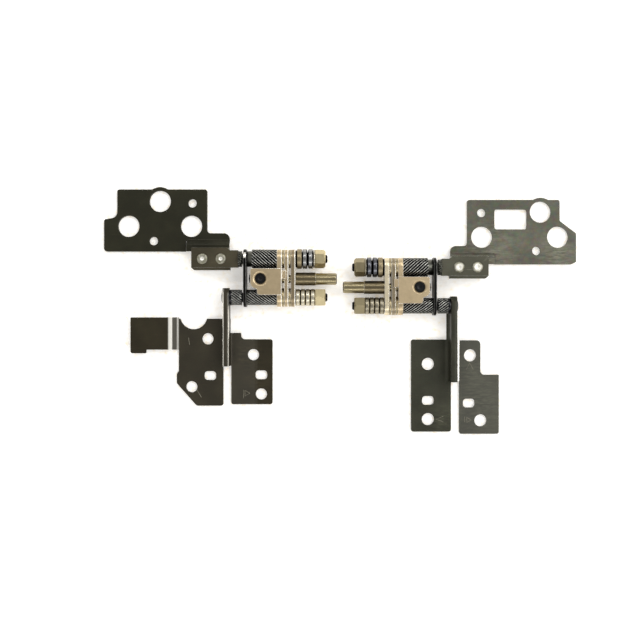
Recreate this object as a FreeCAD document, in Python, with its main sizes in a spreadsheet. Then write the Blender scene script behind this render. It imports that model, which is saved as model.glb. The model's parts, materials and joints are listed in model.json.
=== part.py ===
# Pair of two-axis friction hinges for a laptop whose lid folds all the way round.
# Each hinge has a lid shaft and a base shaft, kept in step by a crossed helical idler gear.
# Frame: X along the shafts, Y from the base side to the lid side, Z up from the table.
# A hinge is drawn about its idler axis with the nuts towards +X; the right one is mirrored in X.
import FreeCAD, Part
import math
import os
import re
import Sketcher
from FreeCAD import Vector

SIZES = {
    # how the two hinges lie beside each other
    "pair_spacing": 39.0,
    "pair_stagger": 2.065,
    "axis_height": 3.2,
    # gear train: both shafts have the same tooth count and lead, so they turn through equal angles
    "shaft_teeth": 18,
    "idler_teeth": 20,
    "axial_pitch": 0.85,
    "lid_pitch_diameter": 4.4,
    "base_pitch_diameter": 3.6,
    "addendum": 0.16,
    "dedendum": 0.21,
    "shaft_tip_share": 0.24,
    "idler_tip_share": 0.22,
    "root_share": 0.3,
    "mesh_clearance": 0.042,
    "facet_turn": 22,
    # clearances
    "run_gap": 0.05,
    "fit_gap": 0.03,
    "face_gap": 0.02,
    # stack along the shafts, from the gear bracket's wall to the thread ends
    "wall_start": 4.0,
    "wall_thickness": 1.25,
    "friction_disc_thickness": 0.56,
    "inner_plate_thickness": 1.0,
    "outer_plate_thickness": 1.1,
    "plate_radius": 2.3,
    "plate_corner": 2.2,
    "cover_disc_thickness": 0.35,
    "thrust_washer_thickness": 1.25,
    "spring_thickness": 0.5,
    "spring_cone": 0.2,
    "spring_count": 4,
    "lock_washer_thickness": 0.45,
    "washer_chamfer": 0.14,
    "disc_chamfer": 0.07,
    "nut_height": 2.55,
    "nut_flats": 4.0,
    "nut_chamfer": 0.45,
    "thread_diameter": 2.0,
    "thread_end": 16.45,
    "thread_chamfer": 0.2,
    "lid_washer_diameter": 4.9,
    "lid_cover_diameter": 4.3,
    "lid_lock_diameter": 4.6,
    "base_washer_diameter": 4.2,
    "base_washer_count": 4,
    "base_washer_chamfer": 0.22,
    # lid shaft
    "lid_journal_diameter": 3.0,
    "lid_gear_start": 2.15,
    "lid_collar_diameter": 3.9,
    "lid_groove_diameter": 2.7,
    "lid_neck_start": 5.6,
    "lid_neck_width": 4.2,
    "lid_tab_start": 7.55,
    "lid_tab_end": 17.1,
    "lid_tab_width": 5.5,
    "lid_tab_thickness": 2.2,
    "lid_tab_corner": 0.6,
    "lid_tab_far_corner": 0.2,
    "lid_tab_clip": 1.1,
    "lid_tab_bevel": 0.6,
    # rivets through the tab and the lug
    "rivet_near": 9.85,
    "rivet_far": 14.4,
    "rivet_shank": 1.6,
    "rivet_head": 2.7,
    "rivet_head_height": 0.3,
    "rivet_dimple": 1.0,
    "rivet_dimple_depth": 0.15,
    # base shaft
    "base_journal_diameter": 2.6,
    "base_groove_diameter": 2.4,
    "base_collar_start": 7.1,
    "base_stake_diameter": 2.4,
    "base_stake_head": 3.3,
    "base_stake_height": 0.3,
    # link plate
    "link_start": 3.5,
    "link_thickness": 0.75,
    "link_radius": 2.4,
    "link_corner": 2.3,
    "link_foot_corner": 0.575,
    "slot_round_share": 0.98,
    "link_slack": 0.45,
    # gear bracket's tongues and the idler between them
    "tongue_gap": 2.3,
    "tongue_thickness": 0.8,
    "tongue_reach": 2.45,
    "tongue_top": 2.5,
    "tongue_low": 2.4,
    "tongue_lobe": 4.0,
    "tongue_lobe_start": 0.8,
    "tongue_nose": 1.5,
    "tongue_corner": 0.5,
    "tongue_lobe_corner": 0.7,
    "rear_tongue_half": 2.4,
    "hook_length": 1.05,
    "hook_top": 2.0,
    "hook_low": 0.1,
    "hook_thickness": 0.55,
    "idler_end_gap": 0.1,
    "idler_pin_diameter": 2.4,
    "pin_dish_diameter": 1.5,
    "pin_dish_depth": 0.2,
    "eyelet_diameter": 3.5,
    "eyelet_depth": 0.4,
    # centre pin
    "spigot_diameter": 2.0,
    "centre_pin_diameter": 3.25,
    "centre_pin_step": 13.6,
    "centre_pin_tip_diameter": 2.9,
    "centre_pin_end": 18.75,
    "centre_pin_chamfer": 0.25,
    # lid brackets
    "lid_sheet": 1.0,
    "joggle_round": 0.7,
    "joggle_lap": 0.3,
    "lug_slit": 0.25,
    "lug_tail": 2.5,
    "lid_boss_hole": 5.3,
    "lid_pin_hole": 2.1,
    "lid_bulge": 3.55,
    "sheet_corner": 0.55,
    "wide_corner": 0.825,
    "shoulder_corner": 1.65,
    "lug_corner": 1.4,
    "left_lid_top": 22.46,
    "left_lid_bottom": 6.96,
    "left_lid_reach": 39.3,
    "left_lid_shoulder": 36.0,
    "left_lid_step": 14.98,
    "left_lid_step_rise": 0.53,
    "left_lid_inner": 13.55,
    "left_lug_top": 11.53,
    "left_lug_inner": 7.95,
    "left_lug_outer": 18.6,
    "left_joggle": 9.6,
    "left_joggle_run": 1.15,
    "left_boss_x": 25.28,
    "left_boss_y": 19.5,
    "left_boss_inset": 6.18,
    "left_boss_near": 17.48,
    "left_boss_row": 13.28,
    "left_pin_near": 17.23,
    "left_pin_high": 19.01,
    "left_pin_far": 26.9,
    "left_pin_down": 9.58,
    "right_lid_top": 21.92,
    "right_lid_bottom": 5.82,
    "right_lid_reach": 39.5,
    "right_lid_shoulder": 35.4,
    "right_lid_step": 13.57,
    "right_lid_step_rise": 3.1,
    "right_lid_inner": 12.33,
    "right_lid_clip": 1.2,
    "right_lug_top": 10.42,
    "right_lug_inner": 8.12,
    "right_lug_outer": 19,
    "right_joggle": 8.4,
    "right_joggle_run": 0.8,
    "right_boss_x": 30.6,
    "right_boss_y": 18.89,
    "right_boss_inset": 4.57,
    "right_boss_near": 15.98,
    "right_boss_row": 12.62,
    "right_pin_near": 15.88,
    "right_pin_high": 18.67,
    "right_pin_far": 29.6,
    "right_pin_down": 9.19,
    "window_near": 19.13,
    "window_far": 27.22,
    "window_low": 14.57,
    "window_high": 19.55,
    # base brackets: one sheet folded into two feet and a doubled upright web
    "base_sheet": 0.8,
    "web_x": 8.55,
    "web_radius": 2.3,
    "web_clip": 1.3,
    "web_fold": 0.7,
    "slot_length": 2.9,
    "slot_width": 2.2,
    "slot_corner": 0.8,
    "step_corner": 1.0,
    "left_screw_hole": 2.8,
    "left_web_bend": 0.5,
    "left_outer_relief": 0.2,
    "left_inner_relief": 0.2,
    "left_web_end": 21.52,
    "left_outer_top": 9.8,
    "left_outer_bottom": 31.52,
    "left_outer_edge": 20.65,
    "left_outer_wide": 21.15,
    "left_outer_step": 22.82,
    "left_outer_step_end": 23.52,
    "left_outer_clip_top": 25.92,
    "left_outer_clip_end": 16.2,
    "left_notch_x": 16.95,
    "left_notch_y": 9.02,
    "left_notch_radius": 3.4,
    "left_outer_hole_x": 13.4,
    "left_outer_hole_y": 14.82,
    "left_outer_low_x": 17.42,
    "left_outer_low_y": 26.8,
    "left_outer_slot_x": 12.8,
    "left_outer_slot_y": 24,
    "left_inner_top": 13.34,
    "left_inner_step_x": 5.1,
    "left_inner_step_y": 14.94,
    "left_inner_edge": 2.75,
    "left_inner_bottom": 31.15,
    "left_inner_hole_x": 2.02,
    "left_inner_hole_y": 18.77,
    "left_inner_low_x": 0.05,
    "left_inner_low_y": 28.6,
    "left_inner_slot_y": 23.82,
    "jog_height": 1.2,
    "jog_run": 1.4,
    "jog_start": 21.2,
    "jog_lap": 0.3,
    "jog_round": 1.0,
    "jog_bend": 0.4,
    "arm_end": 32.5,
    "arm_top": 9.47,
    "arm_bottom": 17.5,
    "arm_toe": 18.4,
    "arm_toe_length": 3.9,
    "toe_corner": 0.275,
    "right_screw_hole": 3.05,
    "right_web_bend": 1.1,
    "right_outer_relief": 1.0,
    "right_inner_relief": -0.55,
    "right_web_end": 23.33,
    "right_outer_top": 13.13,
    "right_outer_bottom": 36.48,
    "right_outer_edge": 15.65,
    "right_outer_wide": 20.25,
    "right_outer_step": 21.73,
    "right_outer_hole_x": 13.1,
    "right_outer_hole_y": 16.88,
    "right_outer_low_x": 15.67,
    "right_outer_low_y": 33.13,
    "right_outer_slot_x": 12.75,
    "right_outer_slot_y": 28.81,
    "right_inner_top": 12.93,
    "right_inner_edge": 1.65,
    "right_inner_bottom": 35.93,
    "right_inner_hole_x": 2.55,
    "right_inner_hole_y": 19.03,
    "right_inner_low_y": 32.83,
    "right_inner_slot_y": 28.15,
}

# Lengths that follow from the sizes, as expressions
IDLER_RADIUS = "(idler_teeth * axial_pitch / pi / 2)"
LID_Y = f"(lid_pitch_diameter / 2 + {IDLER_RADIUS} + mesh_clearance)"
BASE_Y = f"(-1 * (base_pitch_diameter / 2 + {IDLER_RADIUS} + mesh_clearance))"
WALL_END = "(wall_start + wall_thickness)"
INNER_PLATE = f"({WALL_END} + friction_disc_thickness + 2 * face_gap)"
INNER_PLATE_END = f"({INNER_PLATE} + inner_plate_thickness)"
OUTER_PLATE = f"({INNER_PLATE_END} + friction_disc_thickness + 2 * face_gap)"
OUTER_PLATE_END = f"({OUTER_PLATE} + outer_plate_thickness)"
PACK = f"({OUTER_PLATE_END} + face_gap)"
SPRINGS = f"({PACK} + cover_disc_thickness + thrust_washer_thickness)"
LOCK_WASHER = f"({SPRINGS} + spring_count * (spring_thickness + spring_cone))"
NUT = f"({LOCK_WASHER} + lock_washer_thickness)"
LINK_END = "(link_start + link_thickness)"
GROOVE_END = f"({LINK_END} + link_slack)"
WEB_OUTER = "(web_x + base_sheet)"
WEB_INNER = "(web_x - base_sheet)"
LUG_HEIGHT = "(axis_height - lid_tab_thickness / 2 - lid_sheet)"
HINGE_X = {
    "left": "((left_lid_reach - right_lid_reach - pair_spacing) / 2)",
    "right": "((left_lid_reach - right_lid_reach + pair_spacing) / 2)",
}
LEFT_Y = "((pair_stagger + right_outer_bottom - left_boss_y - lid_bulge) / 2)"
HINGE_Y = {"left": LEFT_Y, "right": f"({LEFT_Y} - pair_stagger)"}
HAND = {"left": 1, "right": -1}

doc = FreeCAD.newDocument("laptop_hinges")
sheet = doc.addObject("Spreadsheet::Sheet", "Sizes")
for row, (alias, number) in enumerate(SIZES.items(), start=1):
    sheet.set(f"A{row}", alias)
    sheet.set(f"B{row}", str(number))
    sheet.setAlias(f"B{row}", alias)
doc.recompute()


def size(alias):
    """The sheet's number for a size."""
    return float(sheet.get(alias))


def bound(text):
    """The expression with each size's name pointed at its cell."""
    def cell(word):
        return f"Sizes.{word.group()}" if word.group() in SIZES else word.group()
    return re.sub(r"[a-z][a-z_]*", cell, text)


def new_body(name):
    return doc.addObject("PartDesign::Body", name)


def build(body, feature):
    """Work out a new feature of a body, and stop if it fails."""
    doc.recompute([body])
    if not feature.isValid():
        raise RuntimeError(f"{feature.Name} does not build")
    return feature


def new_sketch(body, name, role, level="0"):
    """A sketch on one of the body's own origin planes, moved along its normal."""
    sketch = body.newObject("Sketcher::SketchObject", name)
    plane = next(item for item in body.Origin.OriginFeatures if item.Role == role)
    sketch.AttachmentSupport = [(plane, "")]
    sketch.MapMode = "FlatFace"
    sketch.setExpression("AttachmentOffset.Base.z", bound(level))
    return sketch


def pin_point(sketch, geometry, position, start, across, up):
    """Hold a point of the sketch at bound distances from the sketch's origin."""
    for kind, seed, text in (("DistanceX", start.x, across), ("DistanceY", start.y, up)):
        index = sketch.addConstraint(Sketcher.Constraint(kind, -1, 1, geometry, position, seed))
        sketch.setExpression(f"Constraints[{index}]", bound(text))


def draw_outline(sketch, points):
    """A closed outline of straight lines through bound corner points."""
    count = len(points)
    first = len(sketch.Geometry)
    seeds = []
    for index in range(count):
        turn = 2 * math.pi * index / count
        seeds.append(Vector(2 + math.cos(turn), 2 + math.sin(turn), 0))
    lines = [Part.LineSegment(seeds[index - 1], seeds[index]) for index in range(count)]
    sketch.addGeometry(lines, False)
    for index, point in enumerate(points):
        after = first + (index + 1) % count
        sketch.addConstraint(Sketcher.Constraint("Coincident", first + index, 2, after, 1))
        pin_point(sketch, first + index, 2, seeds[index], point[0], point[1])


def draw_circle(sketch, across, up, diameter):
    index = sketch.addGeometry(Part.Circle(Vector(1, 1, 0), Vector(0, 0, 1), 1), False)
    pin_point(sketch, index, 3, Vector(1, 1, 0), across, up)
    ring = sketch.addConstraint(Sketcher.Constraint("Diameter", index, 2))
    sketch.setExpression(f"Constraints[{ring}]", bound(diameter))


def add_pad(body, sketch, length, reverse=False):
    feature = body.newObject("PartDesign::Pad", f"{sketch.Name}_pad")
    feature.Profile = sketch
    feature.setExpression("Length", bound(length))
    feature.Reversed = reverse
    return build(body, feature)


def add_cut(body, sketch):
    """Cut the sketch upwards through the whole body."""
    before = body.Shape.Volume
    feature = body.newObject("PartDesign::Pocket", f"{sketch.Name}_cut")
    feature.Profile = sketch
    feature.Type = "ThroughAll"
    feature.Reversed = True
    build(body, feature)
    if feature.Shape.Volume >= before:
        raise RuntimeError(f"{sketch.Name} cuts nothing")
    return feature


def edges_on_line(feature, point, direction):
    """Names of the straight edges that lie on a line."""
    names = []
    for index, edge in enumerate(feature.Shape.Edges, start=1):
        ends = [vertex.Point for vertex in edge.Vertexes]
        if isinstance(edge.Curve, Part.Line) and len(ends) == 2:
            if all((end - point).cross(direction).Length < 1e-5 for end in ends):
                names.append(f"Edge{index}")
    return names


def corner_edges(feature, sketch, corners):
    """Names of the edges that rise from the given corners of a sketch's outline."""
    place = sketch.Placement
    normal = place.Rotation.multVec(Vector(0, 0, 1))
    names = []
    for corner in corners:
        point = place.multVec(sketch.Geometry[corner].EndPoint)
        names += edges_on_line(feature, point, normal)
    return names


def add_fillet(body, feature, names, radius):
    fillet = body.newObject("PartDesign::Fillet", f"{feature.Name}_round")
    fillet.Base = (feature, names)
    fillet.setExpression("Radius", bound(radius))
    return build(body, fillet)


def add_chamfer(body, feature, names, width):
    chamfer = body.newObject("PartDesign::Chamfer", f"{feature.Name}_bevel")
    chamfer.Base = (feature, names)
    chamfer.setExpression("Size", bound(width))
    return build(body, chamfer)


def add_sheet(body, name, role, points, level, thickness, circles=(), reverse=False):
    """A flat piece: outline points are (across, up) or (across, up, corner radius)."""
    sketch = new_sketch(body, name, role, level)
    draw_outline(sketch, points)
    for circle in circles:
        draw_circle(sketch, *circle)
    feature = add_pad(body, sketch, thickness, reverse)
    radii = {}
    for index, point in enumerate(points):
        if len(point) == 3:
            radii.setdefault(point[2], []).append(index)
    for radius, corners in radii.items():
        feature = add_fillet(body, feature, corner_edges(feature, sketch, corners), radius)
    return feature


def add_turning(body, name, role, axis, points):
    """A piece turned about one of the sketch's own axes."""
    sketch = new_sketch(body, name, role)
    draw_outline(sketch, points)
    feature = body.newObject("PartDesign::Revolution", f"{name}_turn")
    feature.Profile = sketch
    feature.ReferenceAxis = (sketch, [axis])
    feature.Angle = 360
    return build(body, feature)


def mirrored(side, points):
    """Outline points with their first coordinate turned over on the right hinge."""
    return [(f"{HAND[side]} * ({point[0]})",) + tuple(point[1:]) for point in points]


def turned_on_x(side, name, points):
    """A piece turned about a shaft axis; points are (distance along the shaft, radius)."""
    body = new_body(f"{side}_{name}")
    add_turning(body, f"{side}_{name}_profile", "XY_Plane", "H_Axis", mirrored(side, points))
    return body


def turned_on_z(side, name, points):
    """A piece turned about an upright axis; points are (radius, height)."""
    body = new_body(f"{side}_{name}")
    add_turning(body, f"{side}_{name}_profile", "XZ_Plane", "V_Axis", points)
    return body


def across_shafts(side, body, name, points, start, thickness, circles=()):
    """A flat piece square to the shafts; points are (y, z)."""
    level = f"{HAND[side]} * ({start})"
    return add_sheet(body, f"{side}_{name}", "YZ_Plane", points, level, thickness, circles, HAND[side] < 0)


def gather(kind, side, name, members):
    """One object made of several: a fused piece or a group of loose ones."""
    whole = doc.addObject(kind, f"{side}_{name}_all")
    if kind == "Part::Compound":
        whole.Links = members
    elif kind == "Part::MultiFuse":
        whole.Shapes = members
    else:
        whole.Base, whole.Tool = members
    return whole


nodes = []


def place(side, name, piece, along_y="0", height="0"):
    """Set a finished piece on its hinge and list it for writing."""
    piece.Label = f"{side}_{name}"
    piece.setExpression("Placement.Base.x", bound(HINGE_X[side]))
    piece.setExpression("Placement.Base.y", bound(f"{HINGE_Y[side]} + {along_y}"))
    piece.setExpression("Placement.Base.z", bound(height))
    nodes.append(piece)


def place_on_lid_axis(side, name, piece):
    place(side, name, piece, LID_Y, "axis_height")


def place_on_base_axis(side, name, piece):
    place(side, name, piece, BASE_Y, "axis_height")


def tooth_ring(teeth, tip_radius, root_radius, tip_share, turn):
    """Corner points of a gear's cross-section, as (radius, angle)."""
    pitch = 2 * math.pi / teeth
    tip = tip_share * pitch / 2
    root = (1 - size("root_share")) * pitch / 2
    ring = []
    for tooth in range(teeth):
        middle = turn + tooth * pitch
        ring.append((tip_radius, middle - tip))
        ring.append((tip_radius, middle + tip))
        ring.append((root_radius, middle + root))
        ring.append((root_radius, middle + pitch - root))
    return ring


def toothed_length(name, teeth, pitch_radius, tip_share, span, lead, phase, spot):
    """Helical teeth as flat facets between turned cross-sections; spot sets a point in the frame."""
    start, end = span
    tip_radius = pitch_radius + size("addendum")
    root_radius = pitch_radius - size("dedendum")
    turn = abs(360 * (end - start) / lead)
    steps = math.ceil(turn / size("facet_turn"))
    rings = []
    for step in range(steps + 1):
        along = start + (end - start) * step / steps
        ring = tooth_ring(teeth, tip_radius, root_radius, tip_share, phase + 2 * math.pi * along / lead)
        rings.append([spot(radius, angle, along) for radius, angle in ring])
    faces = [Part.Face(Part.makePolygon(ring + ring[:1])) for ring in (rings[0], rings[-1])]
    for low, high in zip(rings, rings[1:]):
        for index in range(len(low)):
            a, b, c, d = low[index - 1], low[index], high[index - 1], high[index]
            faces.append(Part.Face(Part.makePolygon([a, b, c, a])))
            faces.append(Part.Face(Part.makePolygon([b, d, c, b])))
    shell = Part.Shell(faces)
    shell.sewShape()
    solid = Part.Solid(shell)
    if solid.Volume < 0:
        solid = solid.reversed()
    feature = doc.addObject("Part::Feature", name)
    feature.Shape = solid
    return feature


def shaft_teeth(side, name, pitch_diameter, span, gap_angle):
    """Teeth along a shaft, with a gap facing the idler at the idler's own plane."""
    hand = HAND[side]
    teeth = int(size("shaft_teeth"))
    lead = teeth * size("axial_pitch")

    def spot(radius, angle, along):
        return Vector(hand * along, radius * math.cos(angle), radius * math.sin(angle))
    phase = gap_angle + math.pi / teeth
    radius = size(pitch_diameter) / 2
    return toothed_length(f"{side}_{name}", teeth, radius, size("shaft_tip_share"), span, lead, phase, spot)


def core_radius(pitch_diameter):
    """Radius of the bar inside a toothed length, just under its tooth roots."""
    return f"({pitch_diameter} / 2 - dedendum - fit_gap * 2)"


def lid_shaft(side):
    core = core_radius("lid_pitch_diameter")
    neck_core = core_radius("base_pitch_diameter")
    bar = turned_on_x(side, "lid_bar", [
        ("-1 * lid_neck_start", "0"),
        ("thread_end", "0"),
        ("thread_end", "thread_diameter / 2 - thread_chamfer"),
        ("thread_end - thread_chamfer", "thread_diameter / 2"),
        (f"{NUT}", "thread_diameter / 2"),
        (f"{NUT}", "lid_journal_diameter / 2"),
        ("wall_start - face_gap", "lid_journal_diameter / 2"),
        ("wall_start - face_gap", core),
        ("-1 * lid_gear_start", core),
        ("-1 * lid_gear_start", "lid_collar_diameter / 2"),
        ("run_gap - link_start", "lid_collar_diameter / 2"),
        ("run_gap - link_start", "lid_groove_diameter / 2"),
        (f"-1 * {GROOVE_END}", "lid_groove_diameter / 2"),
        (f"-1 * {GROOVE_END}", neck_core),
        ("-1 * lid_neck_start", neck_core),
    ])
    gear_span = (-size("lid_gear_start"), size("wall_start") - size("face_gap"))
    gear = shaft_teeth(side, "lid_gear", "lid_pitch_diameter", gear_span, math.pi)
    groove_end = size("link_start") + size("link_thickness") + size("link_slack")
    neck_span = (-size("lid_neck_start"), -groove_end)
    neck_teeth = shaft_teeth(side, "lid_neck_teeth", "base_pitch_diameter", neck_span, math.pi)
    tab = new_body(f"{side}_lid_tab")
    half = "lid_tab_width / 2"
    neck = "lid_neck_width / 2"
    outline = [
        ("-1 * lid_neck_start", f"{neck}"),
        ("-1 * lid_tab_start", f"{neck}"),
        ("-1 * lid_tab_start - lid_tab_clip / 2", f"{half}"),
        ("-1 * lid_tab_end", f"{half}", "lid_tab_far_corner"),
        ("-1 * lid_tab_end", f"lid_tab_corner - {half}"),
        ("lid_tab_corner - lid_tab_end", f"-1 * {half}"),
        ("-1 * lid_tab_start", f"-1 * {half}"),
        ("-1 * lid_tab_start", f"-1 * {neck}"),
        ("-1 * lid_neck_start", f"-1 * {neck}"),
    ]
    holes = []
    for spot in ("rivet_near", "rivet_far"):
        holes.append((f"{-HAND[side]} * {spot}", "0", "rivet_shank + 2 * fit_gap"))
    block = add_sheet(tab, f"{side}_lid_tab_outline", "XY_Plane", mirrored(side, outline),
                      "-1 * lid_tab_thickness / 2", "lid_tab_thickness", holes)
    lower_edge = Vector(0, -size("lid_tab_width") / 2, size("lid_tab_thickness") / 2)
    add_chamfer(tab, block, edges_on_line(block, lower_edge, Vector(1, 0, 0)), "lid_tab_bevel")
    shaft = gather("Part::MultiFuse", side, "lid_shaft", [bar, gear, neck_teeth, tab])
    place_on_lid_axis(side, "lid_shaft", shaft)


def base_shaft(side):
    core = core_radius("base_pitch_diameter")
    tip = "(base_pitch_diameter / 2 + addendum)"
    bar = turned_on_x(side, "base_bar", [
        (f"-1 * {WEB_OUTER} - base_stake_height", "0"),
        ("thread_end", "0"),
        ("thread_end", "thread_diameter / 2 - thread_chamfer"),
        ("thread_end - thread_chamfer", "thread_diameter / 2"),
        (f"{NUT}", "thread_diameter / 2"),
        (f"{NUT}", "base_journal_diameter / 2"),
        ("wall_start - face_gap", "base_journal_diameter / 2"),
        ("wall_start - face_gap", core),
        ("run_gap - link_start", core),
        ("run_gap - link_start", "base_groove_diameter / 2"),
        (f"-1 * {GROOVE_END}", "base_groove_diameter / 2"),
        (f"-1 * {GROOVE_END}", core),
        ("-1 * base_collar_start", core),
        ("-1 * base_collar_start", tip),
        (f"-1 * {WEB_INNER}", tip),
        (f"-1 * {WEB_INNER}", "base_stake_diameter / 2"),
        (f"-1 * {WEB_OUTER}", "base_stake_diameter / 2"),
        (f"-1 * {WEB_OUTER}", "base_stake_head / 2"),
        (f"-1 * {WEB_OUTER} - base_stake_height", "base_stake_diameter / 2"),
    ])
    gear_span = (size("run_gap") - size("link_start"), size("wall_start") - size("face_gap"))
    gear = shaft_teeth(side, "base_gear", "base_pitch_diameter", gear_span, 0)
    groove_end = size("link_start") + size("link_thickness") + size("link_slack")
    collar_span = (-size("base_collar_start"), -groove_end)
    collar = shaft_teeth(side, "base_collar_teeth", "base_pitch_diameter", collar_span, 0)
    shaft = gather("Part::MultiFuse", side, "base_shaft", [bar, gear, collar])
    place_on_base_axis(side, "base_shaft", shaft)


def idler_gear(side):
    hand = HAND[side]
    teeth = int(size("idler_teeth"))
    radius = teeth * size("axial_pitch") / (2 * math.pi)
    shaft_lead = size("shaft_teeth") * size("axial_pitch")
    angles = [math.atan(math.pi * size(name) / shaft_lead)
              for name in ("lid_pitch_diameter", "base_pitch_diameter")]
    lead = 2 * math.pi * radius * math.tan(sum(angles) / 2)
    half = size("tongue_gap") - size("idler_end_gap")

    def spot(along_radius, angle, along):
        return Vector(hand * along_radius * math.cos(angle), along_radius * math.sin(angle), along)
    rim = toothed_length(f"{side}_idler_rim", teeth, radius, size("idler_tip_share"),
                         (-half, half), lead, math.pi / 2, spot)
    bore = doc.addObject("Part::Cylinder", f"{side}_idler_bore")
    bore.setExpression("Radius", bound("idler_pin_diameter / 2 + run_gap"))
    bore.setExpression("Height", bound("2 * tongue_gap"))
    bore.setExpression("Placement.Base.z", bound("-1 * tongue_gap"))
    place(side, "idler_gear", gather("Part::Cut", side, "idler_gear", (rim, bore)), "0", "axis_height")


def idler_pin(side):
    top = "tongue_gap + tongue_thickness"
    pin = turned_on_z(side, "idler_pin_body", [
        ("0", f"-1 * ({top})"),
        ("idler_pin_diameter / 2", f"-1 * ({top})"),
        ("idler_pin_diameter / 2", f"{top} - eyelet_depth / 2"),
        ("pin_dish_diameter / 2", f"{top} - eyelet_depth / 2"),
        ("0", f"{top} - eyelet_depth / 2 - pin_dish_depth"),
    ])
    place(side, "idler_pin", pin, "0", "axis_height")


def shaft_holes():
    """Running holes for both journals and a tight one for the centre pin's spigot."""
    return [
        (LID_Y, "axis_height", "lid_journal_diameter + 2 * run_gap"),
        (BASE_Y, "axis_height", "base_journal_diameter + 2 * run_gap"),
        ("0", "axis_height", "spigot_diameter + 2 * fit_gap"),
    ]


def gear_bracket(side):
    body = new_body(f"{side}_gear_bracket_body")
    low, high = "axis_height - plate_radius", "axis_height + plate_radius"
    depth = "(tongue_gap + tongue_thickness)"
    base_end, lid_end = f"{BASE_Y} - plate_radius", f"{LID_Y} + plate_radius"
    across_shafts(side, body, "wall", [
        (base_end, low, "plate_corner"),
        ("-1 * rear_tongue_half", low),
        ("-1 * rear_tongue_half", f"axis_height - {depth}"),
        ("rear_tongue_half", f"axis_height - {depth}"),
        ("rear_tongue_half", low),
        (lid_end, low, "plate_corner"),
        (lid_end, high, "plate_corner"),
        ("tongue_top", high),
        ("tongue_top", f"axis_height + {depth}"),
        ("-1 * tongue_lobe", f"axis_height + {depth}"),
        ("-1 * tongue_lobe", high),
        (base_end, high, "plate_corner"),
    ], "wall_start", "wall_thickness", shaft_holes())
    front = [
        (WALL_END, "tongue_top"),
        ("-1 * tongue_reach", "tongue_top", "tongue_corner"),
        ("-1 * tongue_reach", "-1 * tongue_low", "tongue_nose"),
        ("-1 * tongue_lobe_start", "-1 * tongue_low", "tongue_corner"),
        ("-1 * tongue_lobe_start", "-1 * tongue_lobe", "tongue_lobe_corner"),
        (WALL_END, "-1 * tongue_lobe"),
    ]
    pin_hole = [("0", "0", "idler_pin_diameter + 2 * fit_gap")]
    add_sheet(body, f"{side}_front_tongue", "XY_Plane", mirrored(side, front),
              "axis_height + tongue_gap", "tongue_thickness", pin_hole)
    rear = [
        (WALL_END, "rear_tongue_half"),
        ("-1 * tongue_reach", "rear_tongue_half", "tongue_nose"),
        ("-1 * tongue_reach", "-1 * rear_tongue_half", "tongue_nose"),
        (WALL_END, "-1 * rear_tongue_half"),
    ]
    add_sheet(body, f"{side}_rear_tongue", "XY_Plane", mirrored(side, rear),
              f"axis_height - {depth}", "tongue_thickness", pin_hole)
    hook = [
        (WALL_END, "hook_top"),
        (f"{WALL_END} + hook_length", "hook_top"),
        (f"{WALL_END} + hook_length", "-1 * hook_low"),
        (WALL_END, "-1 * hook_low"),
    ]
    add_sheet(body, f"{side}_hook", "XY_Plane", mirrored(side, hook),
              "axis_height + tongue_gap", "hook_thickness")
    eyelet = new_sketch(body, f"{side}_eyelet_profile", "XZ_Plane")
    draw_outline(eyelet, [
        ("0", f"axis_height + {depth}"),
        ("eyelet_diameter / 2", f"axis_height + {depth}"),
        ("idler_pin_diameter / 2 + fit_gap", f"axis_height + {depth} - eyelet_depth"),
        ("0", f"axis_height + {depth} - eyelet_depth"),
    ])
    sink = body.newObject("PartDesign::Groove", f"{side}_eyelet")
    sink.Profile = eyelet
    sink.ReferenceAxis = (eyelet, ["V_Axis"])
    sink.Angle = 360
    build(body, sink)
    place(side, "gear_bracket", body)


def support_plate(side, name, start, thickness):
    body = new_body(f"{side}_{name}_body")
    low, high = "axis_height - plate_radius", "axis_height + plate_radius"
    base_end, lid_end = f"{BASE_Y} - plate_radius", f"{LID_Y} + plate_radius"
    across_shafts(side, body, f"{name}_outline", [
        (base_end, low, "plate_corner"),
        (lid_end, low, "plate_corner"),
        (lid_end, high, "plate_corner"),
        (base_end, high, "plate_corner"),
    ], start, thickness, shaft_holes())
    place(side, name, body)


def link_plate(side):
    """Plate dropped over both shafts' grooves, so its slots are open at the back."""
    body = new_body(f"{side}_link_plate_body")
    low, high = "axis_height - link_radius", "axis_height + link_radius"
    base_end, lid_end = f"{BASE_Y} - link_radius", f"{LID_Y} + link_radius"
    points = [
        (lid_end, high, "link_corner"),
        (base_end, high, "link_corner"),
        (base_end, low, "link_foot_corner"),
    ]
    for centre, groove in ((BASE_Y, "base_groove_diameter"), (LID_Y, "lid_groove_diameter")):
        half = f"({groove} / 2 + run_gap)"
        roof = f"axis_height + {half}"
        points.append((f"{centre} - {half}", low))
        points.append((f"{centre} - {half}", roof, f"{half} * slot_round_share"))
        points.append((f"{centre} + {half}", roof, f"{half} * slot_round_share"))
        points.append((f"{centre} + {half}", low))
    points.append((lid_end, low, "link_foot_corner"))
    across_shafts(side, body, "link_outline", points, f"-1 * {LINK_END}", "link_thickness")
    place(side, "link_plate", body)


def centre_pin(side):
    pin = turned_on_x(side, "centre_pin_body", [
        ("wall_start", "0"),
        ("centre_pin_end", "0"),
        ("centre_pin_end", "centre_pin_tip_diameter / 2 - centre_pin_chamfer"),
        ("centre_pin_end - centre_pin_chamfer", "centre_pin_tip_diameter / 2"),
        ("centre_pin_step", "centre_pin_tip_diameter / 2"),
        ("centre_pin_step", "centre_pin_diameter / 2 - centre_pin_chamfer / 2"),
        ("centre_pin_step - centre_pin_chamfer / 2", "centre_pin_diameter / 2"),
        (f"{OUTER_PLATE_END}", "centre_pin_diameter / 2"),
        (f"{OUTER_PLATE_END}", "spigot_diameter / 2"),
        ("wall_start", "spigot_diameter / 2"),
    ])
    place(side, "centre_pin", pin, "0", "axis_height")


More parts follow.
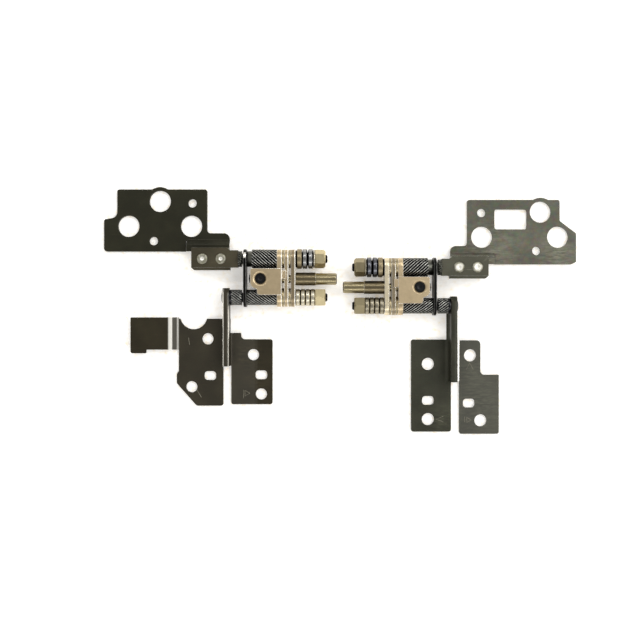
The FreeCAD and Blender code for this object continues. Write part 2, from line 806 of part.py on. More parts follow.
def washer(side, name, start, thickness, diameter, journal, chamfer):
    """A ring on a journal with its rim edges broken."""
    bore = f"{journal} / 2 + fit_gap"
    rim = f"{diameter} / 2"
    end = f"{start} + {thickness}"
    return turned_on_x(side, name, [
        (start, bore),
        (end, bore),
        (end, f"{rim} - {chamfer}"),
        (f"{end} - {chamfer}", rim),
        (f"{start} + {chamfer}", rim),
        (start, f"{rim} - {chamfer}"),
    ])


def friction_discs(side, shaft, journal, put):
    """Discs between the wall and the plates, one in each gap."""
    members = []
    for index, start in enumerate((WALL_END, INNER_PLATE_END), start=1):
        members.append(washer(side, f"{shaft}_friction_disc_{index}", f"{start} + face_gap",
                              "friction_disc_thickness", "2 * plate_radius", journal, "disc_chamfer"))
    put(side, f"{shaft}_friction_discs", gather("Part::Compound", side, f"{shaft}_friction_discs", members))


def disc_springs(side):
    """Coned springs on the lid shaft, rim to rim in pairs."""
    members = []
    step = "(spring_thickness + spring_cone)"
    bore = "lid_journal_diameter / 2 + fit_gap"
    rim = "lid_washer_diameter / 2"
    for index in range(int(size("spring_count"))):
        start = f"{SPRINGS} + {index} * {step}"
        lean_in, lean_out = ("0", "spring_cone") if index % 2 == 0 else ("spring_cone", "0")
        members.append(turned_on_x(side, f"disc_spring_{index + 1}", [
            (f"{start} + {lean_in}", bore),
            (f"{start} + {lean_in} + spring_thickness", bore),
            (f"{start} + {lean_out} + spring_thickness", rim),
            (f"{start} + {lean_out}", rim),
        ]))
    place_on_lid_axis(side, "lid_disc_springs", gather("Part::Compound", side, "lid_disc_springs", members))


def base_washers(side):
    """Thick washers that fill the base shaft's pack up to its nut."""
    members = []
    thickness = f"(({NUT} - {PACK}) / base_washer_count)"
    for index in range(int(size("base_washer_count"))):
        start = f"{PACK} + {index} * {thickness}"
        members.append(washer(side, f"base_washer_{index + 1}", start, thickness,
                              "base_washer_diameter", "base_journal_diameter", "base_washer_chamfer"))
    place_on_base_axis(side, "base_washers", gather("Part::Compound", side, "base_washers", members))


def lock_nut(side, shaft, corner_up, put):
    """Hexagon nut with its outer end coned; corner_up turns a corner to the top."""
    hexagon = new_body(f"{side}_{shaft}_nut_hexagon")
    corners = []
    for index in range(6):
        angle = 60 * index + (30 if corner_up else 0)
        reach = "nut_flats / sqrt(3)"
        corners.append((f"{reach} * cos({angle} deg)", f"{reach} * sin({angle} deg)"))
    across_shafts(side, hexagon, f"{shaft}_nut_hexagon_outline", corners, NUT, "nut_height",
                  [("0", "0", "thread_diameter + 2 * fit_gap")])
    rim = "nut_flats / sqrt(3)"
    cone = turned_on_x(side, f"{shaft}_nut_cone", [
        (NUT, "0"),
        (f"{NUT} + nut_height", "0"),
        (f"{NUT} + nut_height", f"{rim} - nut_chamfer"),
        (f"{NUT} + nut_height - nut_chamfer", rim),
        (NUT, rim),
    ])
    put(side, f"{shaft}_nut", gather("Part::Common", side, f"{shaft}_nut", (hexagon, cone)))


def rivets(side):
    """Two rivets that hold the lid shaft's tab on the bracket's lug."""
    members = []
    foot = "(-1 * lid_tab_thickness / 2 - lid_sheet)"
    top = "lid_tab_thickness / 2"
    for index, spot in enumerate(("rivet_near", "rivet_far"), start=1):
        rivet = turned_on_z(side, f"rivet_{index}", [
            ("0", f"{foot} - rivet_head_height"),
            ("rivet_head / 2", f"{foot} - rivet_head_height"),
            ("rivet_head / 2", foot),
            ("rivet_shank / 2", foot),
            ("rivet_shank / 2", top),
            ("rivet_head / 2", top),
            ("rivet_head / 2 - rivet_head_height", f"{top} + rivet_head_height"),
            ("rivet_dimple / 2", f"{top} + rivet_head_height"),
            ("0", f"{top} + rivet_head_height - rivet_dimple_depth"),
        ])
        rivet.setExpression("Placement.Base.x", bound(f"{-HAND[side]} * {spot}"))
        members.append(rivet)
    place_on_lid_axis(side, "lid_rivets", gather("Part::Compound", side, "lid_rivets", members))


def add_lug(side, body):
    """Lug stepped up from the plate and run under the shaft's tab."""
    inner, outer = f"{side}_lug_inner", f"{side}_lug_outer"
    start, bottom = f"{side}_joggle", f"{side}_lid_bottom"
    end = f"{start} - {side}_joggle_run"
    profile = [
        (f"{start} + joggle_lap * 2", "0"),
        (start, "0"),
        (end, LUG_HEIGHT),
        (bottom, LUG_HEIGHT),
        (bottom, f"{LUG_HEIGHT} + lid_sheet"),
        (f"{end} + joggle_lap", f"{LUG_HEIGHT} + lid_sheet", "joggle_round"),
        (f"{start} + joggle_lap", "lid_sheet"),
        (f"{start} + joggle_lap * 2", "lid_sheet"),
    ]
    across_shafts(side, body, "lug_step", profile, f"-1 * {outer}", f"{outer} - {inner}")
    tail = [
        (f"-1 * {inner}", bottom),
        ("-1 * lid_tab_end", bottom),
        ("-1 * lid_tab_end", f"{LID_Y} - lug_tail", "lid_tab_corner"),
        (f"-1 * {inner}", f"{LID_Y} - lug_tail", "lid_tab_corner"),
    ]
    return add_sheet(body, f"{side}_lug_tail", "XY_Plane", mirrored(side, tail), LUG_HEIGHT, "lid_sheet")


def cut_holes(side, body, name, circles):
    sketch = new_sketch(body, f"{side}_{name}", "XY_Plane")
    for across, up, diameter in circles:
        draw_circle(sketch, f"{HAND[side]} * ({across})", up, diameter)
    return add_cut(body, sketch)


def cut_window(side, body, name, corners, radius):
    """A rectangular hole with rounded corners; corners are (low x, low y, high x, high y)."""
    left, low, right, high = corners
    sketch = new_sketch(body, f"{side}_{name}", "XY_Plane")
    points = mirrored(side, [(left, low), (right, low), (right, high), (left, high)])
    draw_outline(sketch, points)
    feature = add_cut(body, sketch)
    return add_fillet(body, feature, corner_edges(feature, sketch, range(4)), radius)


def lid_bracket(side, outline):
    body = new_body(f"{side}_lid_bracket_body")
    add_sheet(body, f"{side}_lid_plate", "XY_Plane", mirrored(side, outline), "0", "lid_sheet")
    bulge = new_sketch(body, f"{side}_lid_bulge_outline", "XY_Plane")
    draw_circle(bulge, f"{-HAND[side]} * {side}_boss_x", f"{side}_boss_y", "2 * lid_bulge")
    add_pad(body, bulge, "lid_sheet")
    add_lug(side, body)
    row = f"{side}_boss_row"
    cut_holes(side, body, "boss_holes", [
        (f"-1 * {side}_boss_x", f"{side}_boss_y", "lid_boss_hole"),
        (f"{side}_boss_inset - {side}_lid_reach", row, "lid_boss_hole"),
        (f"-1 * {side}_boss_near", row, "lid_boss_hole"),
        (f"-1 * {side}_pin_near", f"{side}_pin_high", "lid_pin_hole"),
        (f"-1 * {side}_pin_far", f"{side}_pin_down", "lid_pin_hole"),
        ("-1 * rivet_near", LID_Y, "rivet_shank + 2 * fit_gap"),
        ("-1 * rivet_far", LID_Y, "rivet_shank + 2 * fit_gap"),
    ])
    if side == "right":
        corners = ("-1 * window_far", "window_low", "-1 * window_near", "window_high")
        cut_window(side, body, "window", corners, "sheet_corner")
    place(side, "lid_bracket", body)


def lug_corner_points(side):
    """The plate's edge round its lug: down the inner edge, over the lug and back along the slit."""
    slit = f"-1 * {side}_lug_outer - lug_slit"
    return [
        (f"-1 * {side}_lid_inner", f"{side}_lid_top", "sheet_corner"),
        (f"-1 * {side}_lid_inner", f"{side}_lug_top", "wide_corner"),
        (f"-1 * {side}_lug_inner", f"{side}_lug_top", "lug_corner"),
        (f"-1 * {side}_lug_inner", f"{side}_joggle"),
        (slit, f"{side}_joggle"),
        (slit, f"{side}_lid_bottom"),
    ]


def left_lid_bracket():
    lid_bracket("left", lug_corner_points("left") + [
        ("-1 * left_lid_reach", "left_lid_bottom", "wide_corner"),
        ("-1 * left_lid_reach", "left_lid_step", "sheet_corner"),
        ("-1 * left_lid_shoulder", "left_lid_step + left_lid_step_rise", "shoulder_corner"),
        ("-1 * left_lid_shoulder", "left_lid_top", "sheet_corner"),
    ])


def right_lid_bracket():
    lid_bracket("right", lug_corner_points("right") + [
        ("-1 * right_lid_reach + right_lid_clip", "right_lid_bottom"),
        ("-1 * right_lid_reach", "right_lid_bottom + right_lid_clip / 2"),
        ("-1 * right_lid_reach", "right_lid_step", "sheet_corner"),
        ("-1 * right_lid_shoulder", "right_lid_step + right_lid_step_rise", "sheet_corner"),
        ("-1 * right_lid_shoulder", "right_lid_top", "sheet_corner"),
    ])


def add_web(side, body, root):
    """Upright doubled sheet between the feet, clipped at the end that carries the shaft."""
    front = f"{BASE_Y} + web_radius"
    low, high = "axis_height - web_radius", "axis_height + web_radius"
    stake = (BASE_Y, "axis_height", "base_stake_diameter + 2 * fit_gap")
    return across_shafts(side, body, "web", [
        (f"{front} - web_clip", low),
        (front, f"{low} + web_clip"),
        (front, f"{high} - web_clip"),
        (f"{front} - web_clip", high),
        (f"-1 * {side}_web_end", high),
        (f"-1 * {side}_web_end", "0"),
        (f"-1 * {root}", "0"),
        (f"-1 * {root}", low),
    ], f"-1 * {WEB_OUTER}", "2 * base_sheet", [stake])


def round_web(side, body, feature):
    """Bend radii where the web leaves the feet, then the fold along its top."""
    middle, sheet_width = size("web_x"), size("base_sheet")
    faces = [-HAND[side] * (middle + sheet_width), -HAND[side] * (middle - sheet_width)]
    heights = {f"{side}_web_bend": sheet_width, "web_fold": size("axis_height") + size("web_radius")}
    for radius, height in heights.items():
        names = []
        for face in faces:
            names += edges_on_line(feature, Vector(face, 0, height), Vector(0, 1, 0))
        feature = add_fillet(body, feature, names, radius)
    return feature


def cut_slots(side, body, spots):
    for name, across, up in spots:
        corners = (f"{across} - slot_length / 2", f"{up} - slot_width / 2",
                   f"{across} + slot_length / 2", f"{up} + slot_width / 2")
        cut_window(side, body, name, corners, "slot_corner")


def add_arm(body):
    """Stepped arm beside the left bracket's outer foot."""
    profile = [
        ("-1 * left_outer_edge", "0"),
        ("-1 * jog_start", "0", "jog_round"),
        ("-1 * jog_start - jog_run", "jog_height", "jog_bend"),
        ("-1 * arm_end", "jog_height"),
        ("-1 * arm_end", "jog_height + base_sheet"),
        ("-1 * jog_start - jog_run + jog_lap", "jog_height + base_sheet", "jog_round"),
        ("-1 * jog_start + jog_lap", "base_sheet", "jog_bend"),
        ("-1 * left_outer_edge", "base_sheet"),
    ]
    add_sheet(body, "left_arm_step", "XZ_Plane", profile, "arm_top", "arm_bottom - arm_top")
    toe = [
        ("-1 * arm_end", "-1 * arm_bottom"),
        ("-1 * arm_end", "-1 * arm_toe", "sheet_corner"),
        ("-1 * arm_end + arm_toe_length", "-1 * arm_toe", "toe_corner"),
        ("-1 * arm_end + arm_toe_length", "-1 * arm_bottom"),
    ]
    return add_sheet(body, "left_arm_toe", "XY_Plane", toe, "jog_height", "base_sheet")


def left_base_bracket():
    body = new_body("left_base_bracket_body")
    outer = [
        (f"-1 * {WEB_OUTER}", "-1 * left_outer_top"),
        ("-1 * left_outer_edge", "-1 * left_outer_top"),
        ("-1 * left_outer_edge", "-1 * left_outer_step"),
        ("-1 * left_outer_wide", "-1 * left_outer_step_end"),
        ("-1 * left_outer_wide", "-1 * left_outer_clip_top", "step_corner"),
        ("-1 * left_outer_clip_end", "-1 * left_outer_bottom", "step_corner"),
        (f"-1 * {WEB_OUTER} - left_outer_relief", "-1 * left_outer_bottom", "sheet_corner"),
        (f"-1 * {WEB_OUTER} - left_outer_relief", "-1 * left_web_end"),
        (f"-1 * {WEB_OUTER}", "-1 * left_web_end"),
    ]
    add_sheet(body, "left_outer_foot", "XY_Plane", outer, "0", "base_sheet")
    add_arm(body)
    add_web("left", body, "left_outer_top")
    inner = [
        (f"-1 * {WEB_INNER}", "-1 * left_inner_top"),
        ("-1 * left_inner_step_x", "-1 * left_inner_top"),
        ("-1 * left_inner_step_x", "-1 * left_inner_step_y", "step_corner"),
        ("left_inner_edge", "-1 * left_inner_step_y", "sheet_corner"),
        ("left_inner_edge", "-1 * left_inner_bottom", "sheet_corner"),
        (f"-1 * {WEB_INNER} + left_inner_relief", "-1 * left_inner_bottom", "sheet_corner"),
        (f"-1 * {WEB_INNER} + left_inner_relief", "-1 * left_web_end"),
        (f"-1 * {WEB_INNER}", "-1 * left_web_end"),
    ]
    feet = add_sheet(body, "left_inner_foot", "XY_Plane", inner, "0", "base_sheet")
    round_web("left", body, feet)
    hole = "left_screw_hole"
    cut_holes("left", body, "foot_holes", [
        ("-1 * left_outer_hole_x", "-1 * left_outer_hole_y", hole),
        ("-1 * left_outer_low_x", "-1 * left_outer_low_y", hole),
        ("-1 * left_inner_hole_x", "-1 * left_inner_hole_y", hole),
        ("-1 * left_inner_low_x", "-1 * left_inner_low_y", hole),
    ])
    cut_slots("left", body, [
        ("outer_slot", "-1 * left_outer_slot_x", "-1 * left_outer_slot_y"),
        ("inner_slot", "-1 * left_inner_low_x", "-1 * left_inner_slot_y"),
    ])
    cut_holes("left", body, "foot_notch", [
        ("-1 * left_notch_x", "-1 * left_notch_y", "2 * left_notch_radius"),
    ])
    place("left", "base_bracket", body)


def right_base_bracket():
    body = new_body("right_base_bracket_body")
    outer = [
        (f"-1 * {WEB_OUTER}", "-1 * right_outer_top"),
        ("-1 * right_outer_edge", "-1 * right_outer_top", "step_corner"),
        ("-1 * right_outer_edge", "-1 * right_outer_step", "step_corner"),
        ("-1 * right_outer_wide", "-1 * right_outer_step"),
        ("-1 * right_outer_wide", "-1 * right_outer_bottom", "sheet_corner"),
        (f"-1 * {WEB_OUTER} - right_outer_relief", "-1 * right_outer_bottom", "sheet_corner"),
        (f"-1 * {WEB_OUTER} - right_outer_relief", "-1 * right_web_end"),
        (f"-1 * {WEB_OUTER}", "-1 * right_web_end"),
    ]
    add_sheet(body, "right_outer_foot", "XY_Plane", mirrored("right", outer), "0", "base_sheet")
    add_web("right", body, "right_inner_top")
    inner = [
        (f"-1 * {WEB_INNER}", "-1 * right_inner_top"),
        ("right_inner_edge", "-1 * right_inner_top", "sheet_corner"),
        ("right_inner_edge", "-1 * right_inner_bottom", "sheet_corner"),
        (f"-1 * {WEB_INNER} + right_inner_relief", "-1 * right_inner_bottom", "sheet_corner"),
        (f"-1 * {WEB_INNER} + right_inner_relief", "-1 * right_web_end"),
        (f"-1 * {WEB_INNER}", "-1 * right_web_end"),
    ]
    feet = add_sheet(body, "right_inner_foot", "XY_Plane", mirrored("right", inner), "0", "base_sheet")
    round_web("right", body, feet)
    hole = "right_screw_hole"
    cut_holes("right", body, "foot_holes", [
        ("-1 * right_outer_hole_x", "-1 * right_outer_hole_y", hole),
        ("-1 * right_outer_low_x", "-1 * right_outer_low_y", hole),
        ("-1 * right_inner_hole_x", "-1 * right_inner_hole_y", hole),
        ("-1 * right_inner_hole_x", "-1 * right_inner_low_y", hole),
    ])
    cut_slots("right", body, [
        ("outer_slot", "-1 * right_outer_slot_x", "-1 * right_outer_slot_y"),
        ("inner_slot", "-1 * right_inner_hole_x", "-1 * right_inner_slot_y"),
    ])
    place("right", "base_bracket", body)


def lid_pack(side):
    """Rings between the outer plate and the lid shaft's nut."""
    lid = "lid_journal_diameter"
    thrust = f"{PACK} + cover_disc_thickness"
    for name, start, thickness, diameter in (
        ("lid_cover_disc", PACK, "cover_disc_thickness", "lid_cover_diameter"),
        ("lid_thrust_washer", thrust, "thrust_washer_thickness", "lid_washer_diameter"),
        ("lid_lock_washer", LOCK_WASHER, "lock_washer_thickness", "lid_lock_diameter"),
    ):
        ring = washer(side, f"{name}_ring", start, thickness, diameter, lid, "washer_chamfer")
        place_on_lid_axis(side, name, ring)


def hinge(side):
    """Everything that the two hinges have in common, apart from their brackets."""
    lid_shaft(side)
    rivets(side)
    friction_discs(side, "lid", "lid_journal_diameter", place_on_lid_axis)
    lid_pack(side)
    disc_springs(side)
    lock_nut(side, "lid", False, place_on_lid_axis)
    base_shaft(side)
    friction_discs(side, "base", "base_journal_diameter", place_on_base_axis)
    base_washers(side)
    lock_nut(side, "base", True, place_on_base_axis)
    idler_gear(side)
    idler_pin(side)
    link_plate(side)
    gear_bracket(side)
    support_plate(side, "inner_plate", INNER_PLATE, "inner_plate_thickness")
    support_plate(side, "outer_plate", OUTER_PLATE, "outer_plate_thickness")
    centre_pin(side)


for side in ("left", "right"):
    hinge(side)
left_lid_bracket()
right_lid_bracket()
left_base_bracket()
right_base_bracket()
doc.recompute()

failed = [item.Name for item in doc.Objects if {"Invalid", "Error"} & set(item.State)]
failed += [piece.Label for piece in nodes if piece.Shape.isNull() or not piece.Shape.isValid()]
if failed:
    raise RuntimeError(f"these did not build: {failed}")
os.makedirs("parts", exist_ok=True)
for piece in nodes:
    piece.Shape.exportStep(f"parts/{piece.Label}.step")
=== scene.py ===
"""Pair of geared laptop hinges: finishes, eased edges, threads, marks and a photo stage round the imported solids."""

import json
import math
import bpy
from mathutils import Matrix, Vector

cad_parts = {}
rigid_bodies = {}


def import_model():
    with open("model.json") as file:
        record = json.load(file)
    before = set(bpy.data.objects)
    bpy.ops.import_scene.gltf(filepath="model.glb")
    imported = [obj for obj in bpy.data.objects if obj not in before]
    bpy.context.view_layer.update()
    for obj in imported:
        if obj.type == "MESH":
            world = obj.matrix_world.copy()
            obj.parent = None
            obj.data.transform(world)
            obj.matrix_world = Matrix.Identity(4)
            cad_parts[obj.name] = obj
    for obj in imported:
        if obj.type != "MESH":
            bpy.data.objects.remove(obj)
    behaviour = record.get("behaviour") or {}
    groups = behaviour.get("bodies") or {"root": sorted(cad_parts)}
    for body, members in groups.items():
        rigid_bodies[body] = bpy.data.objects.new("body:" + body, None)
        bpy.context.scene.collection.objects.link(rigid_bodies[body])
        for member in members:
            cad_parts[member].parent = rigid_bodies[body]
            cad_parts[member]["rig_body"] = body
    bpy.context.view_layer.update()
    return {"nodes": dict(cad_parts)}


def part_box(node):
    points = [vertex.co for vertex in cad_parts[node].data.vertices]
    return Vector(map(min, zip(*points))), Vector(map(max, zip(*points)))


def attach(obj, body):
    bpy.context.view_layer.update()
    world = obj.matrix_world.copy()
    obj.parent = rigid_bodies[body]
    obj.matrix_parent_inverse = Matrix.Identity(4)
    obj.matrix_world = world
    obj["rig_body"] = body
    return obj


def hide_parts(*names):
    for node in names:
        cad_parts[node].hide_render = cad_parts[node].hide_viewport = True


bl_info = {
    "name": "Laptop hinge pair",
    "version": (1, 0, 0),
    "blender": (4, 5, 0),
    "location": "3D View > Sidebar > Hinges",
    "description": "Dresses a pair of geared laptop hinges and sets them on a photo stage",
    "category": "Object",
}

import bmesh
import bpy
from bpy.props import FloatProperty, FloatVectorProperty, PointerProperty
from mathutils import Matrix, Vector

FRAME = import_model()
MM = 0.001
SIDES = ("left", "right")
# way along X from the gap between the hinges to each hinge's brackets
OUTWARD = {"left": -1, "right": 1}

# corners nearer than this in metres are one corner, and facets that turn by fewer degrees are one face
MERGE, FLAT = 2e-7, 0.4
# slack in mm of the tests that pick a ring's rim or a shaft's end
RIM_SLACK, END_SLACK = 0.02, 0.01

# widths in mm of the patterns in plate, metal and board
CLOUD, SCRATCH, STROKE, ROLL, TARNISH, OIL, SPECK = 7, 5.5, 2.2, 1.6, 1.4, 0.9, 1.1
# turns of the stray scratches, and how much longer than wide they are
SCRATCH_TURNS, SCRATCH_STRETCH = (0.5, -0.9, 1.9), 26
# spots in the plate: width in mm and strength
FINE_MOTTLE, COARSE_MOTTLE = (0.4, 0.22), (1.3, 0.55)
# where the change of tone by radius starts and ends, in mm inside its reach; on the teeth it is a painted highlight on
# the crests
FADE_START, FADE_END = 0.08, 0.02

# tip radii of the teeth in mm
TIPS = {"lid_shaft": 2.36, "base_shaft": 1.96, "idler_gear": 2.8656}
# mm along the shafts from a link plate: in to the lid gear, out to the lid tab, and out to the base shaft's plain end
COLLAR_RUN, NECK_RUN, STAKE_RUN = 1.45, 1.3, 2.8
# radius in mm of the pressed eyelet round each idler pin
EYELET = 2.1
# radius of the shafts' threaded ends and thickness of the base brackets' sheet, in mm
THREAD_RADIUS, BASE_SHEET = 1.0, 0.8

# boxes in mm that hold painted highlights: the bends of the base brackets' folds, and the left link plate's lobe round
# the lid shaft
FOLDS = {
    ("left", "base"): [((-29.0, -20.0, 4.78), (-27.3, 8.0, 5.38))],
    ("right", "base"): [((29.1, -17.7, 0.78), (29.9, -7.0, 1.12))],
    ("left", "link"): [((-23.9, 11.2, 5.0), (-23.05, 14.2, 5.65))],
}

# bands along Y painted pale: the narrow ones are painted highlights on bends and plate edges, the wide ones only
# lighten the sheet; x, half width and lowest y in mm, and the share of the pale colour
BANDS = {
    ("left", "base"): [(-42.25, 0.45, -12.0, 0.95), (-41.2, 0.65, -12.0, 0.08), (-40.5, 0.22, -12.0, 0.5),
                       (-28.68, 0.08, -15.0, 0.5), (-30.9, 9.6, -40.0, 0.011), (-23.9, 3.3, -40.0, 0.014)],
    ("right", "base"): [(35.0, 5.6, -40.0, 0.048)],
    ("left", "gear_bracket"): [(-14.43, 0.12, -40.0, 0.9)],
    ("left", "inner_plate"): [(-12.87, 0.11, -40.0, 0.9)],
    ("left", "outer_plate"): [(-11.17, 0.11, -40.0, 0.9)],
}

# where a bracket is rubbed: centre in mm, reach in mm and turn of the strokes
SCUFFS = {
    ("left", "base"): [((-22.9, -11.6, 0.8), 4.6, 0.2), ((-20.5, -17.0, 0.8), 3.2, 1.4)],
    ("right", "lid"): [((37.0, 15.0, 1.0), 9.0, 0.4), ((54.0, 14.0, 1.0), 6.0, 1.2)],
    ("right", "base"): [((35.5, -23.0, 0.8), 11.0, 1.5), ((32.5, -15.0, 0.8), 6.0, 0.3),
                        ((25.0, -27.5, 0.8), 4.5, 0.8)],
}

# stamped lines on the base brackets, as points (x, y) in mm
MARKS = {
    "left": [
        [(-37.85, -6.77), (-37.58, -8.55)],
        [(-35.67, -19.95), (-34.6, -21.7)],
        [(-24.05, -19.8), (-24.1, -21.9)],
        [(-23.75, -19.95), (-22.5, -20.65), (-23.7, -21.35), (-23.75, -19.95)],
    ],
    "right": [
        [(31.55, -14.7), (32.35, -13.1), (33.25, -14.7)],
        [(25.8, -26.4), (23.95, -27.15), (25.8, -27.85)],
        [(31.05, -26.5), (31.15, -27.9)],
        [(31.65, -26.75), (32.8, -27.3), (31.65, -28.0), (31.65, -26.75)],
    ],
}

# point of the table under the camera
VIEW_CENTRE = (-5.0 * MM, -2.375 * MM)
# width of the camera's sensor in mm
SENSOR = 36
# half the table's width in metres, its gap under the hinges in mm, and its glow where it is seen
TABLE_HALF, TABLE_GAP, TABLE_GLOW = 1.5, 0.02, 0.35
# place and size of each lamp in metres, and the setting with its power
LAMPS = {
    "key_lamp": ((0.34, 0.14, 0.42), (0.35, 0.35), "key_power"),
    "front_strip": ((0.05, -0.3, 0.32), (0.6, 0.03), "strip_power"),
    "back_strip": ((-0.05, 0.3, 0.36), (0.6, 0.03), "strip_power"),
}
# the world's grey from the horizon to straight up: dark overhead, so that flat metal keeps its tone
SKY = [(0.0, 0.95), (0.25, 0.8), (0.6, 0.85), (0.86, 1.0), (0.93, 0.8), (0.97, 0.3)]
SKY_STRENGTH = 0.85


def linear(code):
    """Linear colour of an sRGB hex value."""
    channels = [int(code[start:start + 2], 16) / 255 for start in (1, 3, 5)]
    return tuple(c / 12.92 if c <= 0.04045 else ((c + 0.055) / 1.055) ** 2.4 for c in channels)


def colour(name, description, code):
    """Colour property with its default given as an sRGB hex value."""
    return FloatVectorProperty(name=name, description=description, subtype="COLOR", size=3,
                               min=0, max=1, default=linear(code))


def length(name, description, default):
    """Length property with its default given in millimetres."""
    return FloatProperty(name=name, description=description, unit="LENGTH", precision=6,
                         min=0, default=default * MM)


class SheetSettings(bpy.types.PropertyGroup):
    left_lid: colour("Left lid sheet", "Black zinc plate of the left lid bracket", "#252416")
    left_base: colour("Left base sheet", "Black zinc plate of the left base bracket", "#2C2719")
    right_lid: colour("Right lid sheet", "Worn zinc plate of the right lid bracket", "#565549")
    right_base: colour("Right base sheet", "Worn zinc plate of the right base bracket", "#333328")
    left_tab: colour("Left tab", "Rubbed zinc of the left lid shaft's tab", "#403B2C")
    right_tab: colour("Right tab", "Worn zinc of the right lid shaft's tab", "#4E4D40")
    # painted highlight on the folds, also the colour of the brackets' painted bands
    fold: colour("Burnished fold", "Painted highlight along the folds", "#E4E1D8")
    # partly painted: sheared edges are bare steel, and their lighter grey is also a painted glint
    edge: colour("Sheared edge", "Burnished steel along sheared edges, painted lighter as a glint", "#7C786A")
    dark_edge: colour("Plated edge", "Edges that keep their black plate", "#45423A")
    edge_round: length("Edge rounding", "Width of the rounded sheared edges", 0.1)


class MetalSettings(bpy.types.PropertyGroup):
    gear: colour("Gear steel", "Oiled black gear steel", "#121215")
    # painted highlight on the lid shafts' collars
    collar: colour("Collar steel", "Worn collars beside the lid shafts' teeth", "#5C5C55")
    # painted highlight on the tooth crests
    crest: colour("Tooth crest", "Polished crests of the gear teeth", "#C8C8C0")
    carrier: colour("Carrier nickel", "Champagne nickel of the gear brackets", "#C8B491")
    left_inner: colour("Left inner plate", "Nickel of the left inner plate", "#B9A787")
    left_outer: colour("Left outer plate", "Tarnished nickel of the left outer plate", "#948469")
    right_inner: colour("Right inner plate", "Nickel of the right inner plate", "#958870")
    # painted highlight: the right outer plate is pale across its top
    right_outer: colour("Right outer plate", "Clean nickel of the right outer plate", "#E0D3B4")
    # painted highlight on the carriers' rounded edges and their edge bands
    carrier_edge: colour("Carrier edge", "Edges of the carrier sheets, painted near white as a highlight", "#FFFBF0")
    left_nut: colour("Left nuts", "Tan plate of the left nuts", "#C6B891")
    right_nut: colour("Right nuts", "Duller plate of the right nuts", "#94896C")
    thrust: colour("Thrust washer", "Duller plate of the thrust washers", "#93866A")
    spring: colour("Spring steel", "Blued steel of the disc springs", "#101012")
    # painted highlights on the disc springs' rims
    left_spring_rim: colour("Left spring rim", "Rims of the left disc springs, painted silver as a highlight", "#949492")
    right_spring_rim: colour("Right spring rim", "Rims of the right disc springs, painted grey as a weaker highlight", "#66676B")
    left_washer: colour("Left washers", "Bright turned washers", "#C6BFAC")
    right_washer: colour("Right washers", "Turned washers under old oil", "#97907E")
    # painted shade in the gaps between the rings
    groove: colour("Groove shade", "Ring sides painted dark as the shade in the gaps between rings", "#332E24")
    disc: colour("Friction disc", "Oiled friction discs", "#A89A7A")
    pin: colour("Pin plate", "Olive plate of the centre pins' thin ends", "#93886A")
    pin_dark: colour("Pin body", "Browner plate of the centre pins' thick lengths", "#756A52")
    # painted highlight on the centre pins' shoulders and ends
    pin_edge: colour("Pin edge", "Shoulders and ends of the centre pins", "#F2EDDD")
    idler_pin: colour("Idler pin", "Dark ends of the idler pins", "#2A2A2A")
    rivet: colour("Rivet plate", "Bright plate of the rivets", "#F0EDE2")
    rivet_rim: colour("Rivet rim", "Dull rims of the rivets", "#8E8B74")
    link: colour("Link plate", "Black oxide of the link plates", "#1C1C1B")
    # painted highlight on the link plates' edges
    link_edge: colour("Link edge", "Rubbed edges of the link plates", "#6E6E6B")


class DetailSettings(bpy.types.PropertyGroup):
    tooth_round: length("Tooth rounding", "Width of the rounded tooth edges", 0.03)
    ring_round: length("Ring rounding", "Width of the rounded ring edges", 0.05)
    spring_round: length("Spring rounding", "Width of the rounded rims of the disc springs", 0.13)
    pin_round: length("Pin rounding", "Width of the rounded edges of the centre pins", 0.16)
    plate_round: length("Plate rounding", "Width of the rounded edges of the carrier plates", 0.26)
    left_rivet_middle: length("Left rivet middle", "Radius of the bright middles of the left rivets", 0.55)
    right_rivet_middle: length("Right rivet middle", "Radius of the bright middles of the right rivets", 0.9)
    thread_pitch: length("Thread pitch", "Distance between thread turns", 0.4)
    thread_ridge: length("Thread ridge", "Half height of the thread's ridge", 0.12)
    mark_line: length("Mark line", "Half width of the stamped lines", 0.1)
    mark_rise: length("Mark rise", "How far the stamped lines stand up", 0.03)


class StageSettings(bpy.types.PropertyGroup):
    camera_height: length("Camera height", "Camera above the table", 240)
    view_width: length("View width", "Width of the view on the brackets", 160)
    view_plane: length("View plane", "Height of the plane that the width is measured on", 0.5)
    floor: colour("Floor", "White table under the hinges", "#F6F4F0")
    speck: colour("Floor speck", "Warm specks in the table's surface", "#EFE4D2")
    key_power: FloatProperty(name="Key lamp", description="Power of the soft lamp", unit="POWER", default=1.3)
    strip_power: FloatProperty(name="Strip lamp", description="Power of each narrow lamp", unit="POWER", default=0.5)


def add_node(tree, kind, settings=None, links=None):
    """Add a node with its settings, socket values and ramp stops, and link sockets of other nodes to it."""
    node = tree.nodes.new(kind)
    for name, value in (settings or {}).items():
        if name == "stops":
            elements = node.color_ramp.elements
            while len(elements) < len(value):
                elements.new(1.0)
            for element, (position, grey) in zip(elements, value):
                element.position = position
                element.color = (grey, grey, grey, 1)
        elif isinstance(name, str) and hasattr(node, name):
            setattr(node, name, value)
        else:
            node.inputs[name].default_value = value
    for socket, source in (links or {}).items():
        tree.links.new(source, node.inputs[socket])
    return node


def rgba(value):
    """A colour with full opacity."""
    return (*value, 1.0)


def shade(value, share):
    """A colour made lighter or darker."""
    return rgba([min(1.0, channel * share) for channel in value])


def new_surface(name):
    """Empty material and its tree."""
    material = bpy.data.materials.new(name)
    material.use_nodes = True
    material.node_tree.nodes.clear()
    return material, material.node_tree


